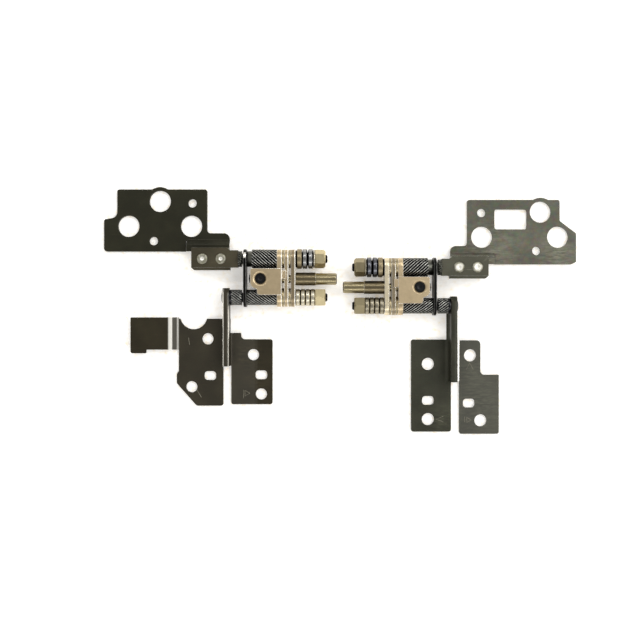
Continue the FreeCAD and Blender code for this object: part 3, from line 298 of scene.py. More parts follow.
def pale_bands(tree, place, tone, bands, bare):
    """Colour with bands along Y painted pale, mostly as highlights on bends and edges: (x, half width, lowest y,
    share), all but the share in mm.
    """
    if not bands:
        return tone
    spot = add_node(tree, "ShaderNodeSeparateXYZ", None, {"Vector": place}).outputs
    for x, half, lowest, most in bands:
        away = add_node(tree, "ShaderNodeMath", {"operation": "SUBTRACT", 1: x * MM}, {0: spot["X"]})
        gap = add_node(tree, "ShaderNodeMath", {"operation": "ABSOLUTE"}, {0: away.outputs[0]})
        # the band fades out over its border, 0.3 mm at most
        soft = min(0.15, half / 2)
        band_fade = add_node(tree, "ShaderNodeMapRange", {"From Min": (half - soft) * MM, "From Max": (half + soft) * MM,
                                                    "To Min": most, "To Max": 0}, {"Value": gap.outputs[0]})
        above = add_node(tree, "ShaderNodeMath", {"operation": "GREATER_THAN", 1: lowest * MM}, {0: spot["Y"]})
        share = add_node(tree, "ShaderNodeMath", {"operation": "MULTIPLY"}, {0: band_fade.outputs[0], 1: above.outputs[0]})
        tone = add_node(tree, "ShaderNodeMix", {"data_type": "RGBA", 7: rgba(bare)},
                        {0: share.outputs[0], 6: tone}).outputs[2]
    return tone


def plated_sheet(name, face, roughness, scuffs=(), bands=(), bare=(1, 1, 1), mottle=FINE_MOTTLE):
    """Zinc-plated steel sheet: a satin skin with faint clouds, stray scratches, rubbed places and pale bands painted as
    highlights.

    Mottle is the width in mm of the spots in the plate, and how strong they are.
    """
    material, tree = new_surface(name)
    place = add_node(tree, "ShaderNodeTexCoord").outputs["Object"]
    # clouds where hands have dulled the plate
    cloud = add_node(tree, "ShaderNodeTexNoise", {"Scale": 1 / (CLOUD * MM), "Detail": 4, "Roughness": 0.55},
                     {"Vector": place})
    patches = add_node(tree, "ShaderNodeValToRGB", {"stops": [(0.4, 0.0), (0.75, 1.0)]}, {"Fac": cloud.outputs["Fac"]})
    base = add_node(tree, "ShaderNodeMix", {"data_type": "RGBA", 6: shade(face, 0.86), 7: shade(face, 1.3)},
                    {0: patches.outputs[0]})
    # plating crystals are far finer than the mottle, which is drawn wide enough to show
    speck = add_node(tree, "ShaderNodeTexNoise", {"Scale": 1 / (mottle[0] * MM), "Detail": 3, "Roughness": 0.7},
                     {"Vector": place})
    grain = add_node(tree, "ShaderNodeMix", {"data_type": "RGBA", "blend_type": "SOFT_LIGHT", 0: mottle[1]},
                     {6: base.outputs[2], 7: speck.outputs["Color"]})
    tone = grain.outputs[2]
    # hairline scratches in three directions
    for index, turn in enumerate(SCRATCH_TURNS):
        lay = add_node(tree, "ShaderNodeMapping", {"Rotation": (0, 0, turn), "Scale": (1, SCRATCH_STRETCH, 1),
                                                   "Location": (index * 3 * MM, 0, 0)}, {"Vector": place})
        line = add_node(tree, "ShaderNodeTexNoise", {"Scale": 1 / (SCRATCH * MM), "Detail": 2},
                        {"Vector": lay.outputs[0]})
        thin = add_node(tree, "ShaderNodeMapRange", {"From Min": 0.68, "From Max": 0.73, "To Max": 0.1},
                        {"Value": line.outputs["Fac"]})
        tone = add_node(tree, "ShaderNodeMix", {"data_type": "RGBA", 7: shade(face, 3.2)},
                        {0: thin.outputs[0], 6: tone}).outputs[2]
    # rubbed places: the plate worn through in short strokes round a point
    for centre, reach, turn in scuffs:
        near = add_node(tree, "ShaderNodeVectorMath", {"operation": "DISTANCE", 1: Vector(centre) * MM}, {0: place})
        fade = add_node(tree, "ShaderNodeMapRange", {"From Max": reach * MM, "To Min": 1, "To Max": 0},
                        {"Value": near.outputs["Value"]})
        lay = add_node(tree, "ShaderNodeMapping", {"Rotation": (0, 0, turn), "Scale": (1, 5, 1)}, {"Vector": place})
        stroke = add_node(tree, "ShaderNodeTexNoise", {"Scale": 1 / (STROKE * MM), "Detail": 5, "Roughness": 0.65},
                          {"Vector": lay.outputs[0]})
        wear_and_highlight = add_node(tree, "ShaderNodeMapRange", {"From Min": 0.42, "From Max": 0.72, "To Max": 0.55},
                        {"Value": stroke.outputs["Fac"]})
        share = add_node(tree, "ShaderNodeMath", {"operation": "MULTIPLY"}, {0: fade.outputs[0], 1: wear_and_highlight.outputs[0]})
        tone = add_node(tree, "ShaderNodeMix", {"data_type": "RGBA", 7: shade(face, 3.6)},
                        {0: share.outputs[0], 6: tone}).outputs[2]
    # bands painted pale along Y: highlights on the folds and edges, and wide bands that only lighten the sheet
    tone = pale_bands(tree, place, tone, bands, bare)
    dull = add_node(tree, "ShaderNodeMapRange", {"To Min": roughness - 0.06, "To Max": roughness + 0.08},
                    {"Value": cloud.outputs["Fac"]})
    # rolling lines of the mill, along X
    roll = add_node(tree, "ShaderNodeMapping", {"Scale": (1, 14, 1)}, {"Vector": place})
    rolling = add_node(tree, "ShaderNodeTexNoise", {"Scale": 1 / (ROLL * MM), "Detail": 4}, {"Vector": roll.outputs[0]})
    relief = add_node(tree, "ShaderNodeBump", {"Strength": 0.05, "Distance": 0.02 * MM},
                      {"Height": rolling.outputs["Fac"]})
    shader = add_node(tree, "ShaderNodeBsdfPrincipled", {"Metallic": 0.35, "Specular IOR Level": 0.3},
                      {"Base Color": tone, "Roughness": dull.outputs[0], "Normal": relief.outputs[0]})
    add_node(tree, "ShaderNodeOutputMaterial", None, {"Surface": shader.outputs[0]})
    return material


def worked_metal(name, tone, roughness, line_mm, along, tarnish, coat=0.0, bands=(), bare=(1, 1, 1)):
    """Metal with tool lines, rings round the X axis where along is (1, 0, 0), under a thin uneven tarnish."""
    material, tree = new_surface(name)
    place = add_node(tree, "ShaderNodeTexCoord").outputs["Object"]
    squeeze = tuple(1.0 if share else 0.04 for share in along)
    lay = add_node(tree, "ShaderNodeMapping", {"Scale": squeeze}, {"Vector": place})
    lines = add_node(tree, "ShaderNodeTexNoise", {"Scale": 1 / (line_mm * MM), "Detail": 3, "Roughness": 0.6},
                     {"Vector": lay.outputs[0]})
    # tarnish in small clouds
    cloud = add_node(tree, "ShaderNodeTexNoise", {"Scale": 1 / (TARNISH * MM), "Detail": 4, "Roughness": 0.6},
                     {"Vector": place})
    stain = add_node(tree, "ShaderNodeMapRange", {"From Min": 0.4, "From Max": 0.75, "To Max": tarnish},
                     {"Value": cloud.outputs["Fac"]})
    body = add_node(tree, "ShaderNodeMix", {"data_type": "RGBA", 6: rgba(tone), 7: shade(tone, 0.45)},
                    {0: stain.outputs[0]})
    # pale bands painted along Y as highlights, where any are given
    wear_and_highlight = pale_bands(tree, place, body.outputs[2], bands, bare)
    dull = add_node(tree, "ShaderNodeMapRange", {"To Min": roughness - 0.06, "To Max": roughness + 0.08},
                    {"Value": lines.outputs["Fac"]})
    bump = add_node(tree, "ShaderNodeBump", {"Strength": 0.06, "Distance": 0.01 * MM},
                    {"Height": lines.outputs["Fac"]})
    shader = add_node(tree, "ShaderNodeBsdfPrincipled", {"Metallic": 1.0, "Coat Weight": coat, "Coat Roughness": 0.12},
                      {"Base Color": wear_and_highlight, "Roughness": dull.outputs[0], "Normal": bump.outputs[0]})
    add_node(tree, "ShaderNodeOutputMaterial", None, {"Surface": shader.outputs[0]})
    return material


def toned_by_radius(name, within, beyond, axis, along, reach):
    """Metal with one tone within a reach of an axis and another beyond it, such as tooth tips painted pale as a
    highlight.
    """
    material, tree = new_surface(name)
    place = add_node(tree, "ShaderNodeTexCoord").outputs["Object"]
    offset = add_node(tree, "ShaderNodeVectorMath", {"operation": "SUBTRACT", 1: axis}, {0: place})
    across = add_node(tree, "ShaderNodeVectorMath", {"operation": "MULTIPLY", 1: [1 - share for share in along]},
                      {0: offset.outputs[0]})
    radius = add_node(tree, "ShaderNodeVectorMath", {"operation": "LENGTH"}, {0: across.outputs[0]})
    wear_and_highlight = add_node(tree, "ShaderNodeMapRange",
                    {"From Min": reach - FADE_START * MM, "From Max": reach - FADE_END * MM},
                    {"Value": radius.outputs["Value"]})
    # oil left in clouds, which hides part of the pale tone, on the teeth a painted highlight
    cloud = add_node(tree, "ShaderNodeTexNoise", {"Scale": 1 / (OIL * MM), "Detail": 3}, {"Vector": place})
    oil_and_shade = add_node(tree, "ShaderNodeMapRange", {"From Min": 0.35, "From Max": 0.7, "To Min": 1.0, "To Max": 0.45},
                   {"Value": cloud.outputs["Fac"]})
    share = add_node(tree, "ShaderNodeMath", {"operation": "MULTIPLY"}, {0: wear_and_highlight.outputs[0], 1: oil_and_shade.outputs[0]})
    tone = add_node(tree, "ShaderNodeMix", {"data_type": "RGBA", 6: rgba(within), 7: rgba(beyond)},
                    {0: share.outputs[0]})
    shader = add_node(tree, "ShaderNodeBsdfPrincipled", {"Metallic": 1.0, "Roughness": 0.38},
                      {"Base Color": tone.outputs[2]})
    add_node(tree, "ShaderNodeOutputMaterial", None, {"Surface": shader.outputs[0]})
    return material


def floor_paper(name, face, speck):
    """White board: pale enough to burn out, with faint warm specks, and it keeps the hinges' soft shadow."""
    material, tree = new_surface(name)
    place = add_node(tree, "ShaderNodeTexCoord").outputs["Object"]
    spots = add_node(tree, "ShaderNodeTexNoise", {"Scale": 1 / (SPECK * MM), "Detail": 3}, {"Vector": place})
    share = add_node(tree, "ShaderNodeMapRange", {"From Min": 0.5, "From Max": 0.7}, {"Value": spots.outputs["Fac"]})
    tint = add_node(tree, "ShaderNodeMix", {"data_type": "RGBA", 6: rgba(face), 7: rgba(speck)},
                    {0: share.outputs[0]})
    board = add_node(tree, "ShaderNodeBsdfDiffuse", None, {"Color": tint.outputs[2]})
    # the glow is seen, also in metal, but lights nothing
    rays = add_node(tree, "ShaderNodeLightPath")
    seen = add_node(tree, "ShaderNodeMath", {"operation": "ADD"},
                    {0: rays.outputs["Is Camera Ray"], 1: rays.outputs["Is Glossy Ray"]})
    shown = add_node(tree, "ShaderNodeMath", {"operation": "ADD", "use_clamp": True},
                     {0: seen.outputs[0], 1: rays.outputs["Is Transmission Ray"]})
    lift = add_node(tree, "ShaderNodeMath", {"operation": "MULTIPLY", 1: TABLE_GLOW}, {0: shown.outputs[0]})
    glow = add_node(tree, "ShaderNodeEmission", None, {"Color": tint.outputs[2], "Strength": lift.outputs[0]})
    shader = add_node(tree, "ShaderNodeAddShader", None, {0: board.outputs[0], 1: glow.outputs[0]})
    add_node(tree, "ShaderNodeOutputMaterial", None, {"Surface": shader.outputs[0]})
    return material


def new_piece(name, mesh):
    """Object with a mesh, in the scene."""
    piece = bpy.data.objects.new(name, mesh)
    bpy.context.scene.collection.objects.link(piece)
    return piece


def settle(piece):
    """Make what the modifiers give the piece's own mesh."""
    bpy.context.view_layer.update()
    graph = bpy.context.evaluated_depsgraph_get()
    mesh = bpy.data.meshes.new_from_object(piece.evaluated_get(graph))
    piece.modifiers.clear()
    piece.data = mesh


def eased_copy(node, width, face, edge, patches=(), crease=34, rounds=2, plain=None):
    """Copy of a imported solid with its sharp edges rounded, which takes the solid's place.

    Patches are (material, test) pairs: a face whose corners all pass a test gets that material.
    Roundings whose corners all pass the plain test keep the face's material.
    """
    solid = FRAME["nodes"][node]
    form = bmesh.new()
    form.from_mesh(solid.data)
    bmesh.ops.remove_doubles(form, verts=form.verts, dist=MERGE)
    bmesh.ops.dissolve_limit(form, angle_limit=math.radians(FLAT), verts=form.verts, edges=form.edges)
    for facet in form.faces:
        facet.smooth = True
        facet.material_index = 0
        for index, (_, test) in enumerate(patches, start=2):
            if all(test(corner.co) for corner in facet.verts):
                facet.material_index = index
    mesh = bpy.data.meshes.new(f"{node}_eased")
    form.to_mesh(mesh)
    form.free()
    for material in (face, edge, *(patch[0] for patch in patches)):
        mesh.materials.append(material)
    piece = new_piece(f"{node}_eased", mesh)
    rounding = piece.modifiers.new("edges", "BEVEL")
    rounding.width = width
    rounding.segments = rounds
    rounding.limit_method = "ANGLE"
    rounding.angle_limit = math.radians(crease)
    rounding.use_clamp_overlap = True
    rounding.material = 1
    flats = piece.modifiers.new("flats", "WEIGHTED_NORMAL")
    flats.keep_sharp = False
    settle(piece)
    if plain:
        for facet in piece.data.polygons:
            if facet.material_index == 1 and all(plain(piece.data.vertices[i].co) for i in facet.vertices):
                facet.material_index = 0
    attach(piece, solid["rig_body"])
    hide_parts(node)
    return piece


def middle_of(node):
    """Middle of a node's box."""
    low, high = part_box(node)
    return (low + high) / 2


def end_x(node, way):
    """X of a node's end on the side that a way along X points to."""
    low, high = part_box(node)
    return high.x if way > 0 else low.x


def shaft_axis(side, shaft):
    """A point on a shaft's axis, from its nut."""
    return middle_of(f"{side}_{shaft}_nut")


def outer_radius(node, axis):
    """Largest radius of a ring-shaped node about an axis along X."""
    low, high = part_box(node)
    return max(high.y - axis.y, high.z - axis.z, axis.y - low.y)


def on_rim(node, axis):
    """Test for corners on the outer face of a ring-shaped node about an axis along X."""
    radius = outer_radius(node, axis)

    def test(corner):
        return abs(math.hypot(corner.y - axis.y, corner.z - axis.z) - radius) < RIM_SLACK * MM
    return test


def round_upright(axis, radius):
    """Test for corners within a radius in millimetres of an upright axis."""
    def test(corner):
        return math.hypot(corner.x - axis.x, corner.y - axis.y) < radius * MM
    return test


def past(start, way):
    """Test for corners farther along X than a start, in a way of 1 or -1."""
    def test(corner):
        return (corner.x - start) * way > -END_SLACK * MM
    return test


def in_box(low, high):
    """Test for corners in a box given in millimetres."""
    def test(corner):
        return all(start <= value / MM <= end for start, value, end in zip(low, corner, high))
    return test


def grown(name, tree, values, mesh=None):
    """Piece grown by a node tree from a mesh's lines or from nothing, as a plain mesh."""
    piece = new_piece(name, mesh or bpy.data.meshes.new(name))
    growth = piece.modifiers.new("growth", "NODES")
    growth.node_group = tree
    for item in tree.interface.items_tree:
        if item.in_out == "INPUT" and item.name in values:
            growth[item.identifier] = values[item.name]
    settle(piece)
    return piece


def new_tree(name, numbers):
    """Geometry tree with a geometry input, number inputs and a geometry output."""
    tree = bpy.data.node_groups.new(name, "GeometryNodeTree")
    tree.interface.new_socket(name="Geometry", in_out="INPUT", socket_type="NodeSocketGeometry")
    for number in numbers:
        tree.interface.new_socket(name=number, in_out="INPUT", socket_type="NodeSocketFloat")
    tree.interface.new_socket(name="Geometry", in_out="OUTPUT", socket_type="NodeSocketGeometry")
    return tree, add_node(tree, "NodeGroupInput").outputs


def end_tree(tree, shape, material):
    """Give a geometry tree's shape its material and lead it out."""
    whole = add_node(tree, "GeometryNodeRealizeInstances", None, {"Geometry": shape})
    finish = add_node(tree, "GeometryNodeSetMaterial", {"Material": material}, {"Geometry": whole.outputs[0]})
    add_node(tree, "NodeGroupOutput", None, {"Geometry": finish.outputs[0]})


class HINGE_OT_brackets(bpy.types.Operator):
    """Stamped lid and base brackets with plated faces, burnished edges with a painted glint, and painted fold
    highlights
    """

    bl_idname = "hinge.brackets"
    bl_label = "Stamped brackets"

    def execute(self, context):
        sheet = context.scene.hinge_sheet
        # burnished shear line of bare steel, also painted lighter as a thin grey glint round each outline
        edge = worked_metal("sheared_steel_edge", sheet.edge, 0.36, 0.3, (1, 1, 1), 0.5)
        # the same line still under its plate: hardly lighter than the face
        dark = worked_metal("plated_steel_edge", sheet.dark_edge, 0.4, 0.3, (1, 1, 1), 0.5)
        # painted highlight along a fold: a white line beside the dark web
        fold = worked_metal("burnished_fold", sheet.fold, 0.26, 0.6, (1, 1, 1), 0.5)
        for side in SIDES:
            for part in ("lid", "base"):
                # black zinc plate: dark olive with a low satin sheen, lighter where it is rubbed, with pale bands
                # painted on as highlights
                tone = getattr(sheet, f"{side}_{part}")
                mottle = COARSE_MOTTLE if (side, part) == ("right", "lid") else FINE_MOTTLE
                face = plated_sheet(f"{side}_{part}_zinc_sheet", tone, 0.42, SCUFFS.get((side, part), ()),
                                    BANDS.get((side, part), ()), sheet.fold, mottle)
                folds = [(fold, in_box(*box)) for box in FOLDS.get((side, part), ())]
                rim = dark if (side, part) == ("left", "lid") else edge
                piece = eased_copy(f"{side}_{part}_bracket", sheet.edge_round, face, rim, folds)
        return {"FINISHED"}


class HINGE_OT_gears(bpy.types.Operator):
    """Toothed lid and base shafts and the idler gears between them"""

    bl_idname = "hinge.gears"
    bl_label = "Gear shafts and idlers"

    def execute(self, context):
        metal, detail, sheet = context.scene.hinge_metal, context.scene.hinge_detail, context.scene.hinge_sheet
        # oiled black steel: the base shafts' plain ends, with a wet glint
        black = worked_metal("oiled_gear_steel", metal.gear, 0.28, 0.18, (1, 0, 0), 0.3, coat=0.4)
        # collars on either side of the link plates, painted grey as a highlight
        collar = worked_metal("worn_collar_steel", metal.collar, 0.3, 0.18, (1, 0, 0), 0.3)
        for side in SIDES:
            way = OUTWARD[side]
            inner, outer = end_x(f"{side}_link_plate", -way), end_x(f"{side}_link_plate", way)
            # the lid shaft's flat tab has its bracket's own black zinc
            tab = plated_sheet(f"{side}_tab_zinc", getattr(sheet, f"{side}_tab"), 0.4)
            pieces = {
                "lid_shaft": (shaft_axis(side, "lid"), (1, 0, 0),
                              [(collar, past(inner - way * COLLAR_RUN * MM, way)),
                               (tab, past(outer + way * NECK_RUN * MM, way))]),
                "base_shaft": (shaft_axis(side, "base"), (1, 0, 0),
                               [(black, past(outer + way * STAKE_RUN * MM, way))]),
                "idler_gear": (middle_of(f"{side}_idler_gear"), (0, 0, 1), []),
            }
            for part, (axis, along, ends) in pieces.items():
                # white diagonal lines on black: tooth crests painted pale as highlights
                teeth = toned_by_radius(f"{side}_{part}_teeth", metal.gear, metal.crest, axis, along, TIPS[part] * MM)
                piece = eased_copy(f"{side}_{part}", detail.tooth_round, teeth, teeth, ends, crease=38, rounds=1)
        return {"FINISHED"}


class HINGE_OT_carriers(bpy.types.Operator):
    """Gear brackets, support plates and link plates that carry the shafts"""

    bl_idname = "hinge.carriers"
    bl_label = "Carriers and link plates"

    def execute(self, context):
        metal, sheet, detail = context.scene.hinge_metal, context.scene.hinge_sheet, context.scene.hinge_detail
        # nickel on rounded edges, painted near white as highlights: the white lines
        bright = worked_metal("nickel_edge", metal.carrier_edge, 0.24, 0.4, (1, 1, 1), 0.1)
        # black oxide: a dry dark skin
        oxide = worked_metal("black_oxide", metal.link, 0.38, 0.4, (1, 1, 1), 0.3)
        # its corners painted grey as thin highlights
        wear_and_highlight = worked_metal("rubbed_oxide_edge", metal.link_edge, 0.3, 0.3, (1, 1, 1), 0.4)
        for side in SIDES:
            on_eyelet = round_upright(middle_of(f"{side}_idler_pin"), EYELET)
            tones = {"gear_bracket": metal.carrier, "inner_plate": getattr(metal, f"{side}_inner"),
                     "outer_plate": getattr(metal, f"{side}_outer")}
            for part, tone in tones.items():
                # champagne nickel plate: soft tan sheet with pale satin reflections, and where a band is given, a white
                # highlight painted along an edge
                nickel = worked_metal(f"{side}_{part}_nickel", tone, 0.38, 0.5, (1, 1, 1), 0.25,
                                      bands=BANDS.get((side, part), ()), bare=metal.carrier_edge)
                piece = eased_copy(f"{side}_{part}", detail.plate_round, nickel, bright, plain=on_eyelet)
            # painted highlight on the left link plate's lobe round the lid shaft
            lobe_highlights = [(bright, in_box(*box)) for box in FOLDS.get((side, "link"), ())]
            piece = eased_copy(f"{side}_link_plate", sheet.edge_round, oxide, wear_and_highlight, lobe_highlights)
        return {"FINISHED"}


class HINGE_OT_pins(bpy.types.Operator):
    """Turned centre pins, idler pins and rivets"""

    bl_idname = "hinge.pins"
    bl_label = "Pins and rivets"

    def execute(self, context):
        metal, detail = context.scene.hinge_metal, context.scene.hinge_detail
        # olive passivated steel, turned: lines of light along the bar
        olive = worked_metal("olive_pin_plate", metal.pin, 0.3, 0.2, (1, 0, 0), 0.35)
        # the same plate, browner on the thick length
        brown = worked_metal("brown_pin_plate", metal.pin_dark, 0.3, 0.2, (1, 0, 0), 0.35)
        # shoulders and ends painted near white: thin highlight rings
        ring = worked_metal("turned_pin_edge", metal.pin_edge, 0.3, 0.2, (1, 0, 0), 0.2)
        # pin end in old oil: a dark dished disc
        dark = worked_metal("oiled_pin_end", metal.idler_pin, 0.34, 0.3, (1, 1, 1), 0.4)
        for side in SIDES:
            thick = on_rim(f"{side}_centre_pin", middle_of(f"{side}_centre_pin"))
            piece = eased_copy(f"{side}_centre_pin", detail.pin_round, olive, ring, [(brown, thick)])
            eased_copy(f"{side}_idler_pin", detail.ring_round, dark, dark)
            low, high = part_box(f"{side}_lid_rivets")
            reach = (high.y - low.y) / 2
            heads = []
            for place, x in (("first", low.x + reach), ("second", high.x - reach)):
                # bright zinc heads, paler in the middle, with a darker rim
                axis = Vector((x, low.y + reach, 0))
                heads.append(toned_by_radius(f"{side}_{place}_rivet_zinc", metal.rivet, metal.rivet_rim, axis,
                                            (0, 0, 1), getattr(detail, f"{side}_rivet_middle")))
            second = past(middle_of(f"{side}_lid_rivets").x, 1)
            piece = eased_copy(f"{side}_lid_rivets", detail.ring_round, heads[0], heads[0], [(heads[1], second)])
        return {"FINISHED"}


class HINGE_OT_rings(bpy.types.Operator):
    """Friction discs, washers, disc springs and nuts stacked on the shafts"""

    bl_idname = "hinge.rings"
    bl_label = "Ring packs and nuts"

    def execute(self, context):
        metal, detail = context.scene.hinge_metal, context.scene.hinge_detail
        # tan passivated steel: warm dull thrust washers
        thrust = worked_metal("dull_thrust_plate", metal.thrust, 0.38, 0.25, (1, 0, 0), 0.3)
        # blued spring steel: black cones
        blue = worked_metal("blued_spring_steel", metal.spring, 0.3, 0.12, (1, 0, 0), 0.2)
        # oiled friction discs, and ring sides painted dark as the shade in the gaps between the rings
        disc = worked_metal("oiled_disc_steel", metal.disc, 0.36, 0.2, (1, 0, 0), 0.3)
        oil_and_shade = worked_metal("old_oil_groove", metal.groove, 0.4, 0.2, (1, 1, 1), 0.3)
        for side in SIDES:
            # tan passivated steel: warm dull nuts
            tan = worked_metal(f"{side}_tan_nut_plate", getattr(metal, f"{side}_nut"), 0.36, 0.25, (1, 0, 0), 0.2)
            # rims of the blued springs, painted silver as highlights
            bare = worked_metal(f"{side}_bare_spring_rim", getattr(metal, f"{side}_spring_rim"), 0.26, 0.12,
                                (1, 0, 0), 0.2)
            # turned steel: narrow bright rings
            turned = worked_metal(f"{side}_turned_washer_steel", getattr(metal, f"{side}_washer"), 0.32, 0.14,
                                  (1, 0, 0), 0.15)
            # the sides' colour is painted shade in the gaps between rings
            # finishes of each ring's sides, rounded edges and rim, and its slot
            finishes = {
                "lid_friction_discs": (oil_and_shade, disc, disc, "disc_steel"),
                "base_friction_discs": (oil_and_shade, disc, disc, "disc_steel"),
                "lid_cover_disc": (blue, blue, blue, "disc_steel"),
                "lid_thrust_washer": (oil_and_shade, thrust, thrust, "tan_steel"),
                "lid_disc_springs": (blue, blue, bare, "spring_steel"),
                "lid_lock_washer": (oil_and_shade, turned, turned, "tan_steel"),
                "base_washers": (oil_and_shade, tan, turned, "bright_steel"),
            }
            for part, (groove, edge, rim, slot) in finishes.items():
                node = f"{side}_{part}"
                outside = on_rim(node, shaft_axis(side, part.split("_")[0]))
                width = detail.spring_round if rim == bare else detail.ring_round
                eased_copy(node, width, groove, edge, [(rim, outside)])
            for part in ("lid_nut", "base_nut"):
                eased_copy(f"{side}_{part}", detail.ring_round, tan, tan)
        return {"FINISHED"}


class HINGE_OT_threads(bpy.types.Operator):
    """Rolled thread on the shaft ends that stand out of the nuts"""

    bl_idname = "hinge.threads"
    bl_label = "Shaft threads"

    def execute(self, context):
        metal, detail = context.scene.hinge_metal, context.scene.hinge_detail
        # rolled black steel: fine dark ridges
        steel = worked_metal("rolled_thread_steel", metal.gear, 0.3, 0.2, (1, 0, 0), 0.2)
        tree, given = new_tree("rolled_thread", ("Turns", "Radius", "Length", "Ridge"))
        coil = add_node(tree, "GeometryNodeCurveSpiral", {"Resolution": 40},
                        {"Rotations": given["Turns"], "Start Radius": given["Radius"],
                         "End Radius": given["Radius"], "Height": given["Length"]})
        ridge = add_node(tree, "GeometryNodeCurvePrimitiveCircle", {"Resolution": 4}, {"Radius": given["Ridge"]})
        sweep = add_node(tree, "GeometryNodeCurveToMesh", {"Fill Caps": True},
                         {"Curve": coil.outputs[0], "Profile Curve": ridge.outputs[0]})
        end_tree(tree, sweep.outputs[0], steel)
        for side in SIDES:
            way = -OUTWARD[side]
            for shaft in ("lid", "base"):
                axis = shaft_axis(side, shaft)
                start, end = end_x(f"{side}_{shaft}_nut", way), end_x(f"{side}_{shaft}_shaft", way)
                # the ridge keeps a little more than its half height clear of the nut and the shaft's end
                run = abs(end - start) - 2.4 * detail.thread_ridge
                values = {"Turns": run / detail.thread_pitch,
                          "Radius": THREAD_RADIUS * MM - detail.thread_ridge * 0.75,
                          "Length": run, "Ridge": detail.thread_ridge}
                piece = grown(f"{side}_{shaft}_thread", tree, values)
                lay = Matrix.Rotation(math.radians(90) * way, 4, "Y")
                spot = Vector((start + way * 1.1 * detail.thread_ridge, axis.y, axis.z))
                piece.data.transform(Matrix.Translation(spot) @ lay)
                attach(piece, f"{side}_{shaft}")
        return {"FINISHED"}


class HINGE_OT_marks(bpy.types.Operator):
    """Plain arrow marks stamped beside the screw holes"""

    bl_idname = "hinge.marks"
    bl_label = "Stamped arrows"

    def execute(self, context):
        sheet, detail = context.scene.hinge_sheet, context.scene.hinge_detail
        tree, given = new_tree("stamped_line", ("Half width",))
        path = add_node(tree, "GeometryNodeMeshToCurve", None, {"Mesh": given["Geometry"]})
        wire = add_node(tree, "GeometryNodeCurvePrimitiveCircle", {"Resolution": 8}, {"Radius": given["Half width"]})
        sweep = add_node(tree, "GeometryNodeCurveToMesh", {"Fill Caps": True},
                         {"Curve": path.outputs[0], "Profile Curve": wire.outputs[0]})
        # steel bared by the stamp: thin grey lines
        steel = worked_metal("stamped_line_steel", sheet.edge, 0.4, 0.3, (1, 1, 1), 0.5)
        end_tree(tree, sweep.outputs[0], steel)
        level = BASE_SHEET * MM - detail.mark_line + detail.mark_rise
        for side in SIDES:
            mesh = bpy.data.meshes.new(f"{side}_mark_lines")
            points, lines = [], []
            for stroke in MARKS[side]:
                lines += [(len(points) + step, len(points) + step + 1) for step in range(len(stroke) - 1)]
                points += [(x * MM, y * MM, level) for x, y in stroke]
            mesh.from_pydata(points, lines, [])
            piece = grown(f"{side}_arrow_marks", tree, {"Half width": detail.mark_line}, mesh)
            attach(piece, f"{side}_base")
        return {"FINISHED"}


def add_lamp(name, spot, size, power):
    """Rectangular lamp that faces the origin."""
    data = bpy.data.lights.new(name, "AREA")
    data.shape = "RECTANGLE"
    data.size, data.size_y = size
    data.energy = power
    lamp = bpy.data.objects.new(name, data)
    bpy.context.scene.collection.objects.link(lamp)
    lamp.location = spot
    lamp.rotation_euler = Vector(spot).to_track_quat("Z", "Y").to_euler()


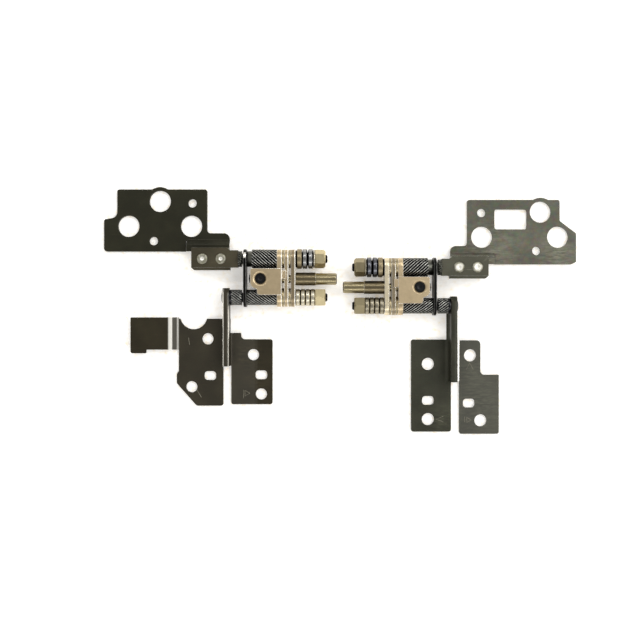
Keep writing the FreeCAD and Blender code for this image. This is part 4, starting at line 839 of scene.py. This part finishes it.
class HINGE_OT_stage(bpy.types.Operator):
    """White table, soft light and a camera straight above"""

    bl_idname = "hinge.stage"
    bl_label = "Photo stage"

    def execute(self, context):
        scene, stage = context.scene, context.scene.hinge_stage
        scene.view_settings.view_transform = "Standard"
        mesh = bpy.data.meshes.new("table")
        corners = [(x * TABLE_HALF, y * TABLE_HALF, -TABLE_GAP * MM) for x, y in ((-1, -1), (1, -1), (1, 1), (-1, 1))]
        mesh.from_pydata(corners, [], [(0, 1, 2, 3)])
        mesh.materials.append(floor_paper("white_board", stage.floor, stage.speck))
        new_piece("table", mesh)
        world = bpy.data.worlds.new("studio")
        scene.world = world
        world.use_nodes = True
        tree = world.node_tree
        tree.nodes.clear()
        towards = add_node(tree, "ShaderNodeTexCoord").outputs["Generated"]
        height = add_node(tree, "ShaderNodeSeparateXYZ", None, {"Vector": towards}).outputs["Z"]
        sky = add_node(tree, "ShaderNodeValToRGB", {"stops": SKY}, {"Fac": height})
        back = add_node(tree, "ShaderNodeBackground", {"Strength": SKY_STRENGTH}, {"Color": sky.outputs[0]})
        add_node(tree, "ShaderNodeOutputWorld", None, {"Surface": back.outputs[0]})
        for name, (spot, size, power) in LAMPS.items():
            add_lamp(name, spot, size, getattr(stage, power))
        lens = bpy.data.cameras.new("camera")
        lens.sensor_width = SENSOR
        lens.lens = SENSOR * (stage.camera_height - stage.view_plane) / stage.view_width
        lens.clip_start = 0.01
        camera = bpy.data.objects.new("camera", lens)
        scene.collection.objects.link(camera)
        camera.location = (*VIEW_CENTRE, stage.camera_height)
        scene.camera = camera
        return {"FINISHED"}


class HINGE_PT_panel(bpy.types.Panel):
    """Lists the steps that dress the hinges and their settings"""

    bl_idname = "HINGE_PT_panel"
    bl_label = "Laptop hinges"
    bl_space_type = "VIEW_3D"
    bl_region_type = "UI"
    bl_category = "Hinges"

    def draw(self, context):
        for step in STEPS:
            self.layout.operator(step.bl_idname)
        for name in SETTINGS:
            group = getattr(context.scene, name)
            box = self.layout.box()
            for key in group.__annotations__:
                box.prop(group, key)


STEPS = (HINGE_OT_brackets, HINGE_OT_gears, HINGE_OT_carriers, HINGE_OT_pins, HINGE_OT_rings, HINGE_OT_threads,
         HINGE_OT_marks, HINGE_OT_stage)
SETTINGS = {
    "hinge_sheet": SheetSettings,
    "hinge_metal": MetalSettings,
    "hinge_detail": DetailSettings,
    "hinge_stage": StageSettings,
}


def register():
    for group in SETTINGS.values():
        bpy.utils.register_class(group)
    for name, group in SETTINGS.items():
        setattr(bpy.types.Scene, name, PointerProperty(type=group))
    for step in (*STEPS, HINGE_PT_panel):
        bpy.utils.register_class(step)


def unregister():
    for step in (HINGE_PT_panel, *reversed(STEPS)):
        bpy.utils.unregister_class(step)
    for name in SETTINGS:
        delattr(bpy.types.Scene, name)
    for group in SETTINGS.values():
        bpy.utils.unregister_class(group)


def main():
    register()
    bpy.ops.hinge.brackets()
    bpy.ops.hinge.gears()
    bpy.ops.hinge.carriers()
    bpy.ops.hinge.pins()
    bpy.ops.hinge.rings()
    bpy.ops.hinge.threads()
    bpy.ops.hinge.marks()
    bpy.ops.hinge.stage()


if __name__ == "__main__":
    main()
